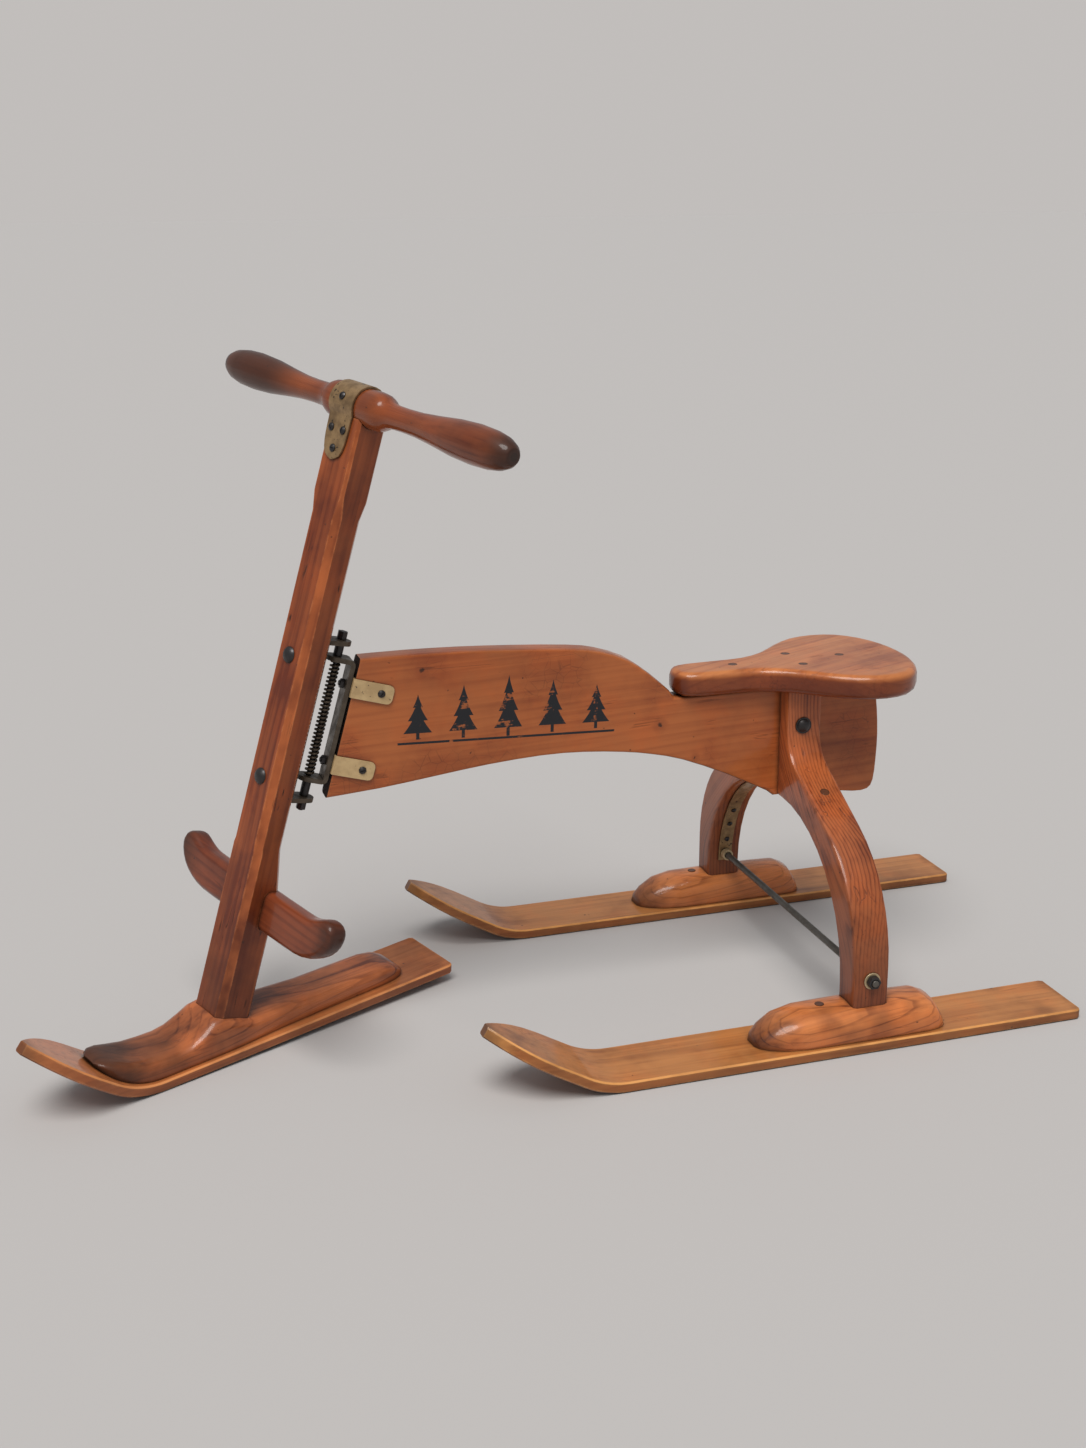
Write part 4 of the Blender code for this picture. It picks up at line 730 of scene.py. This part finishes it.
fit(planed("hinge_pin_nut", "hinge_bolt_nut", ease=0.0006), "hinge_pin_nut", blackened)

cad_spring = frame["nodes"]["hinge_spring"]
heights = [(cad_spring.matrix_world @ corner.co - axis_low).dot(axis_way)
           for corner in cad_spring.data.vertices]
end_room = spring_wire * 1.1
spring_start = min(heights) + end_room
spring_pitch = (max(heights) - min(heights) - 2 * end_room) / spring_curls
bpy.ops.object.select_all(action="DESELECT")
bpy.ops.mesh.primitive_circle_add(vertices=12, radius=spring_wire, fill_type="NOTHING",
                                  location=(spring_radius, 0, 0), rotation=(math.pi / 2, 0, 0))
coil = bpy.context.view_layer.objects.active
coil.name = "hinge_coil"
coil.data.name = "hinge_coil"
bpy.ops.object.transform_apply(location=True, rotation=True, scale=True)
winding = coil.modifiers.new("winding", "SCREW")
winding.axis = "Z"
winding.angle = 2 * math.pi
winding.screw_offset = spring_pitch
winding.iterations = spring_curls
winding.steps = 24
winding.render_steps = 24
bpy.ops.object.modifier_apply(modifier=winding.name)
bpy.ops.object.mode_set(mode="EDIT")
bpy.ops.mesh.select_all(action="SELECT")
bpy.ops.mesh.remove_doubles(threshold=0.00001)
bpy.ops.mesh.select_all(action="DESELECT")
bpy.ops.mesh.select_non_manifold()
bpy.ops.mesh.fill()
bpy.ops.mesh.select_all(action="SELECT")
bpy.ops.mesh.normals_make_consistent(inside=False)
bpy.ops.object.mode_set(mode="OBJECT")
bpy.ops.object.shade_smooth_by_angle(angle=math.radians(50))
coil.data.transform(Matrix.Translation(axis_low + axis_way * spring_start)
                    @ Matrix.Rotation(-lean, 4, "Y"))
fit(coil, "hinge_spring", spring_steel)


# Steering post
# A square pine post with wide chamfers, thicker at its head, deep red-brown and checked along
# the grain, with the chamfers rubbed bright and painted shade towards its foot and on its left side.
# Two bolts with black domes hold its bracket.

post_light = (0.385, 0.094, 0.026, 1.0)
post_dark = (0.140, 0.026, 0.009, 1.0)
grain_up = post_turn @ Matrix.Rotation(-math.pi / 2, 3, "Y")
post_front_way = post_turn @ Vector((1, 0, 0))
bar_way = post_turn @ Vector((0, 1, 0))


def rubbed_chamfers(tree, face, cloud):
    """The chamfers look half to the front and half to the side."""
    ahead = number(tree, "ABSOLUTE", vector(tree, "DOT_PRODUCT", face, tuple(post_front_way)))
    aside = number(tree, "ABSOLUTE", vector(tree, "DOT_PRODUCT", face, tuple(bar_way)))
    both = ramp(tree, number(tree, "MULTIPLY", ahead, aside), 0.40, 0.47)
    return number(tree, "MULTIPLY", both, ramp(tree, cloud, 0.36, 0.62, 0.05, 0.55))


def post_foot_and_side_shade(tree, place, face):
    """Painted shade: the post is darker towards its foot and on its left side."""
    off = vector(tree, "SUBTRACT", place, tuple(axis_low))
    rise = vector(tree, "DOT_PRODUCT", off, tuple(axis_way))
    rise = number(tree, "MULTIPLY_ADD", noise(tree, place, 14.0).outputs[0], 0.10, rise)
    foot = ramp(tree, rise, -0.30, -0.08, 0.50, 0.0)
    side = ramp(tree, vector(tree, "DOT_PRODUCT", face, tuple(bar_way)), 0.80, 0.95, 0.0, 0.22)
    return number(tree, "MAXIMUM", foot, side)


post_heart = axis_low + post_turn @ Vector((0.085, -0.045, 0))
post_pine = varnished_pine("post_pine", post_light, post_dark, along=grain_up.to_euler(),
                           heart=tuple(post_heart), ring=0.0095, line=(0.30, 0.80),
                           contrast=0.25, ends=post_foot_and_side_shade, rubbed=rubbed_chamfers,
                           checks=0.9, gloss=0.26, worn=0.9, varnish=0.30)
fit(planed("steering_post", "steering_post_timber"), "steering_post", post_pine)
for level in ("lower", "upper"):
    bolt = level + "_carriage_bolt"
    nut = level + "_carriage_nut"
    fit(planed(bolt, level + "_coach_bolt", smooth_angle=60), bolt, blackened)
    fit(planed(nut, level + "_coach_nut", ease=0.0005), nut, blackened)


# Handlebar
# Turned in one piece, with a bead in the middle and swelling grips, and its tips worn black.
# A strap of dull brass goes over the bead and is screwed to the post.

bar_light = (0.280, 0.070, 0.022, 1.0)
bar_dark = (0.105, 0.022, 0.008, 1.0)
bar_low, bar_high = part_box("handlebar")
bar_middle = (bar_low + bar_high) / 2
bar_half_length = 0.230
grip_middle = 0.175


def bar_ends(tree, place, face):
    """Dark tips that are black at their very ends, and a right grip darkened by hands."""
    off = vector(tree, "SUBTRACT", place, tuple(bar_middle))
    side = vector(tree, "DOT_PRODUCT", off, tuple(bar_way))
    along = number(tree, "ABSOLUTE", side)
    ragged = number(tree, "MULTIPLY_ADD", noise(tree, place, 60.0).outputs[0], 0.006, along)
    radial = vector(tree, "LENGTH", vector(tree, "CROSS_PRODUCT", off, tuple(bar_way)),
                    (0, 0, 0))
    tip = number(tree, "MULTIPLY",
                 ramp(tree, ragged, bar_half_length - 0.003, bar_half_length, 0.0, 0.95),
                 ramp(tree, radial, 0.0050, 0.0042))
    shadow = ramp(tree, ragged, bar_half_length - 0.034, bar_half_length - 0.002, 0.0, 0.86)
    held = ramp(tree, number(tree, "ABSOLUTE", number(tree, "SUBTRACT", ragged, grip_middle)),
                0.025, 0.090, 1.0, 0.0)
    held = number(tree, "MULTIPLY", held, ramp(tree, side, -0.05, 0.05, 0.80, 0.0))
    return number(tree, "MAXIMUM", number(tree, "MAXIMUM", tip, shadow), held)


along_bar = (post_turn @ Matrix.Rotation(math.pi / 2, 3, "Z")).to_euler()
bar_heart = bar_middle + post_turn @ Vector((0.06, 0, 0.03))
bar_pine = varnished_pine("bar_pine", bar_light, bar_dark, along=along_bar,
                          heart=tuple(bar_heart), ring=0.0075, line=(0.35, 0.85),
                          contrast=0.30, ends=bar_ends, gloss=0.22, checks=0.15, knots=0.2)
fit(planed("handlebar", "turned_handlebar", smooth_angle=40), "handlebar", bar_pine)
fit(planed("clamp_strap", "bar_strap", ease=0.0005), "clamp_strap", khaki_brass)
for node, turn in (("left_strap_screw", 0.3), ("right_strap_screw", 1.2),
                   ("low_strap_screw", 2.0), ("bead_strap_screw", 0.9)):
    screw = planed(node, node + "_head", smooth_angle=50)
    outward = post_front_way
    if node == "bead_strap_screw":
        low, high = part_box(node)
        outward = (low + high) / 2 - bar_middle
        outward = (outward - bar_way * outward.dot(bar_way)).normalized()
    pole = max((corner.co for corner in screw.data.vertices), key=lambda co: co.dot(outward))
    saw_slot(screw, pole.copy(), outward, turn)
    fit(screw, node, blackened)


# Footrest bar
# One board let into the back of the post, with a rounded upturned peg at each end. It is a
# darker red-brown than the post, and darker still at both ends, where the boots stand.

peg_light = (0.240, 0.056, 0.020, 1.0)
peg_dark = (0.085, 0.017, 0.008, 1.0)
rest_low, rest_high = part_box("footrest_bar")
rest_middle = (rest_low + rest_high) / 2


def peg_tips(tree, place, face):
    """Both ends darkened by boots."""
    off = vector(tree, "SUBTRACT", place, tuple(rest_middle))
    along = number(tree, "ABSOLUTE", vector(tree, "DOT_PRODUCT", off, tuple(bar_way)))
    ragged = number(tree, "MULTIPLY_ADD", noise(tree, place, 35.0).outputs[0], 0.030, along)
    return ramp(tree, ragged, 0.112, 0.150, 0.0, 0.70)


rest_heart = rest_middle + post_turn @ Vector((0.03, 0, -0.05))
footrest_pine = varnished_pine("footrest_pine", peg_light, peg_dark, along=along_bar,
                               heart=tuple(rest_heart), ring=0.008, line=(0.40, 0.85),
                               contrast=0.35, ends=peg_tips, gloss=0.28)
fit(planed("footrest_bar", "footrest_board"), "footrest_bar", footrest_pine)


# Front block and front ski
# A long carved block that follows the upturn of the ski and holds the foot of the post, with painted
# shade on its sides.
# The ski turns with it and tilts a little, as the leaning axis turns it.

front_way = post_turn @ Matrix.Rotation(lean, 3, "Y")
front_euler = front_way.to_euler()
front_along = front_way @ Vector((1, 0, 0))
front_block_light = (0.560, 0.170, 0.056, 1.0)
front_block_dark = (0.130, 0.032, 0.014, 1.0)
block_low, block_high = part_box("front_block")
block_middle = (block_low + block_high) / 2


def block_ends(tree, place, face):
    """Dark patches over the nose."""
    along = vector(tree, "DOT_PRODUCT",
                   vector(tree, "SUBTRACT", place, tuple(block_middle)), tuple(front_along))
    ragged = number(tree, "MULTIPLY_ADD", noise(tree, place, 26.0, 3.0).outputs[0], 0.14, along)
    return ramp(tree, ragged, 0.090, 0.260, 0.0, 0.85)


block_heart = block_middle + front_way @ Vector((0, -0.05, -0.15))
# Light painted shade on the block's sides: faces that don't look up are darkened.
front_block_pine = varnished_pine("front_block_pine", front_block_light, front_block_dark,
                                  along=front_euler, heart=tuple(block_heart), ring=0.0072,
                                  line=(0.70, 0.92), contrast=0.60, ends=block_ends, painted_side_shade=0.25,
                                  gloss=0.22)
fit(planed("front_block", "front_block_carving"), "front_block", front_block_pine)

front_ski_light = (0.540, 0.185, 0.060, 1.0)
front_ski_dark = (0.230, 0.070, 0.022, 1.0)
ski_low, ski_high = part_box("front_ski")
ski_middle = (ski_low + ski_high) / 2
front_ski_half_length = 0.275
middle_along = ski_middle.dot(front_along)
front_ski_pine = ski_pine("front_ski_pine", front_ski_light, front_ski_dark,
                          tip_x=middle_along + front_ski_half_length,
                          tail_x=middle_along - front_ski_half_length, turn=front_euler.z,
                          heart=tuple(ski_middle + Vector((0, 0.02, -0.07))))
fit(planed("front_ski", "front_ski_board"), "front_ski", front_ski_pine)


# Floor
# A plain pale floor that runs out to the horizon, under a soft even sky. Where the camera sees
# the sky, it has the colour of the floor.

bpy.ops.object.select_all(action="DESELECT")
bpy.ops.mesh.primitive_plane_add(size=120)
floor = bpy.context.view_layer.objects.active
floor.name = "floor"
floor_paint = bpy.data.materials.new("floor_paint")
floor_paint.use_nodes = True
floor_skin = floor_paint.node_tree.nodes["Principled BSDF"]
floor_skin.inputs["Base Color"].default_value = (0.545, 0.522, 0.510, 1.0)
floor_skin.inputs["Roughness"].default_value = 0.85
floor_skin.inputs["Specular IOR Level"].default_value = 0.2
floor.data.materials.append(floor_paint)

sky = bpy.data.worlds.new("soft_sky")
sky.use_nodes = True
sky_tree = sky.node_tree
sky_light = sky_tree.nodes["Background"]
sky_light.inputs["Color"].default_value = (0.94, 0.97, 1.0, 1.0)
sky_light.inputs["Strength"].default_value = 0.34
backdrop = shader(sky_tree, "Background", {"Color": (0.536, 0.513, 0.499, 1.0), "Strength": 1.0})
seen = shader(sky_tree, "MixShader", {0: shader(sky_tree, "LightPath").outputs["Is Camera Ray"],
                                      1: sky_light.outputs[0], 2: backdrop.outputs[0]})
sky_tree.links.new(seen.outputs[0], sky_tree.nodes["World Output"].inputs["Surface"])
bpy.context.scene.world = sky


# Lamp
# One very wide lamp, high up and a little to the front and to the left. Its shadows are soft,
# as under an open sky.

noon = bpy.data.lights.new("wide_overhead", "SUN")
noon.energy = 2.40
noon.angle = math.radians(34)
noon.color = (1.0, 0.985, 0.96)
noon_holder = bpy.data.objects.new("wide_overhead", noon)
bpy.context.scene.collection.objects.link(noon_holder)
noon_holder.rotation_euler = Vector((0.25, 0.45, 1.0)).to_track_quat("Z", "Y").to_euler()


# Camera
# It stands to the left of the trike and a little ahead, at eye height of a seated person. Its
# place and its lens are fitted to the photo.

camera = bpy.data.cameras.new("photo_camera")
camera.lens = 43.17
camera.sensor_width = 36.0
camera_holder = bpy.data.objects.new("photo_camera", camera)
bpy.context.scene.collection.objects.link(camera_holder)
camera_holder.location = (0.5594, 1.7329, 0.8848)
camera_holder.rotation_euler = (math.radians(72.941), math.radians(0.367),
                                math.radians(162.519))
bpy.context.scene.camera = camera_holder
bpy.context.scene.view_settings.view_transform = "Standard"
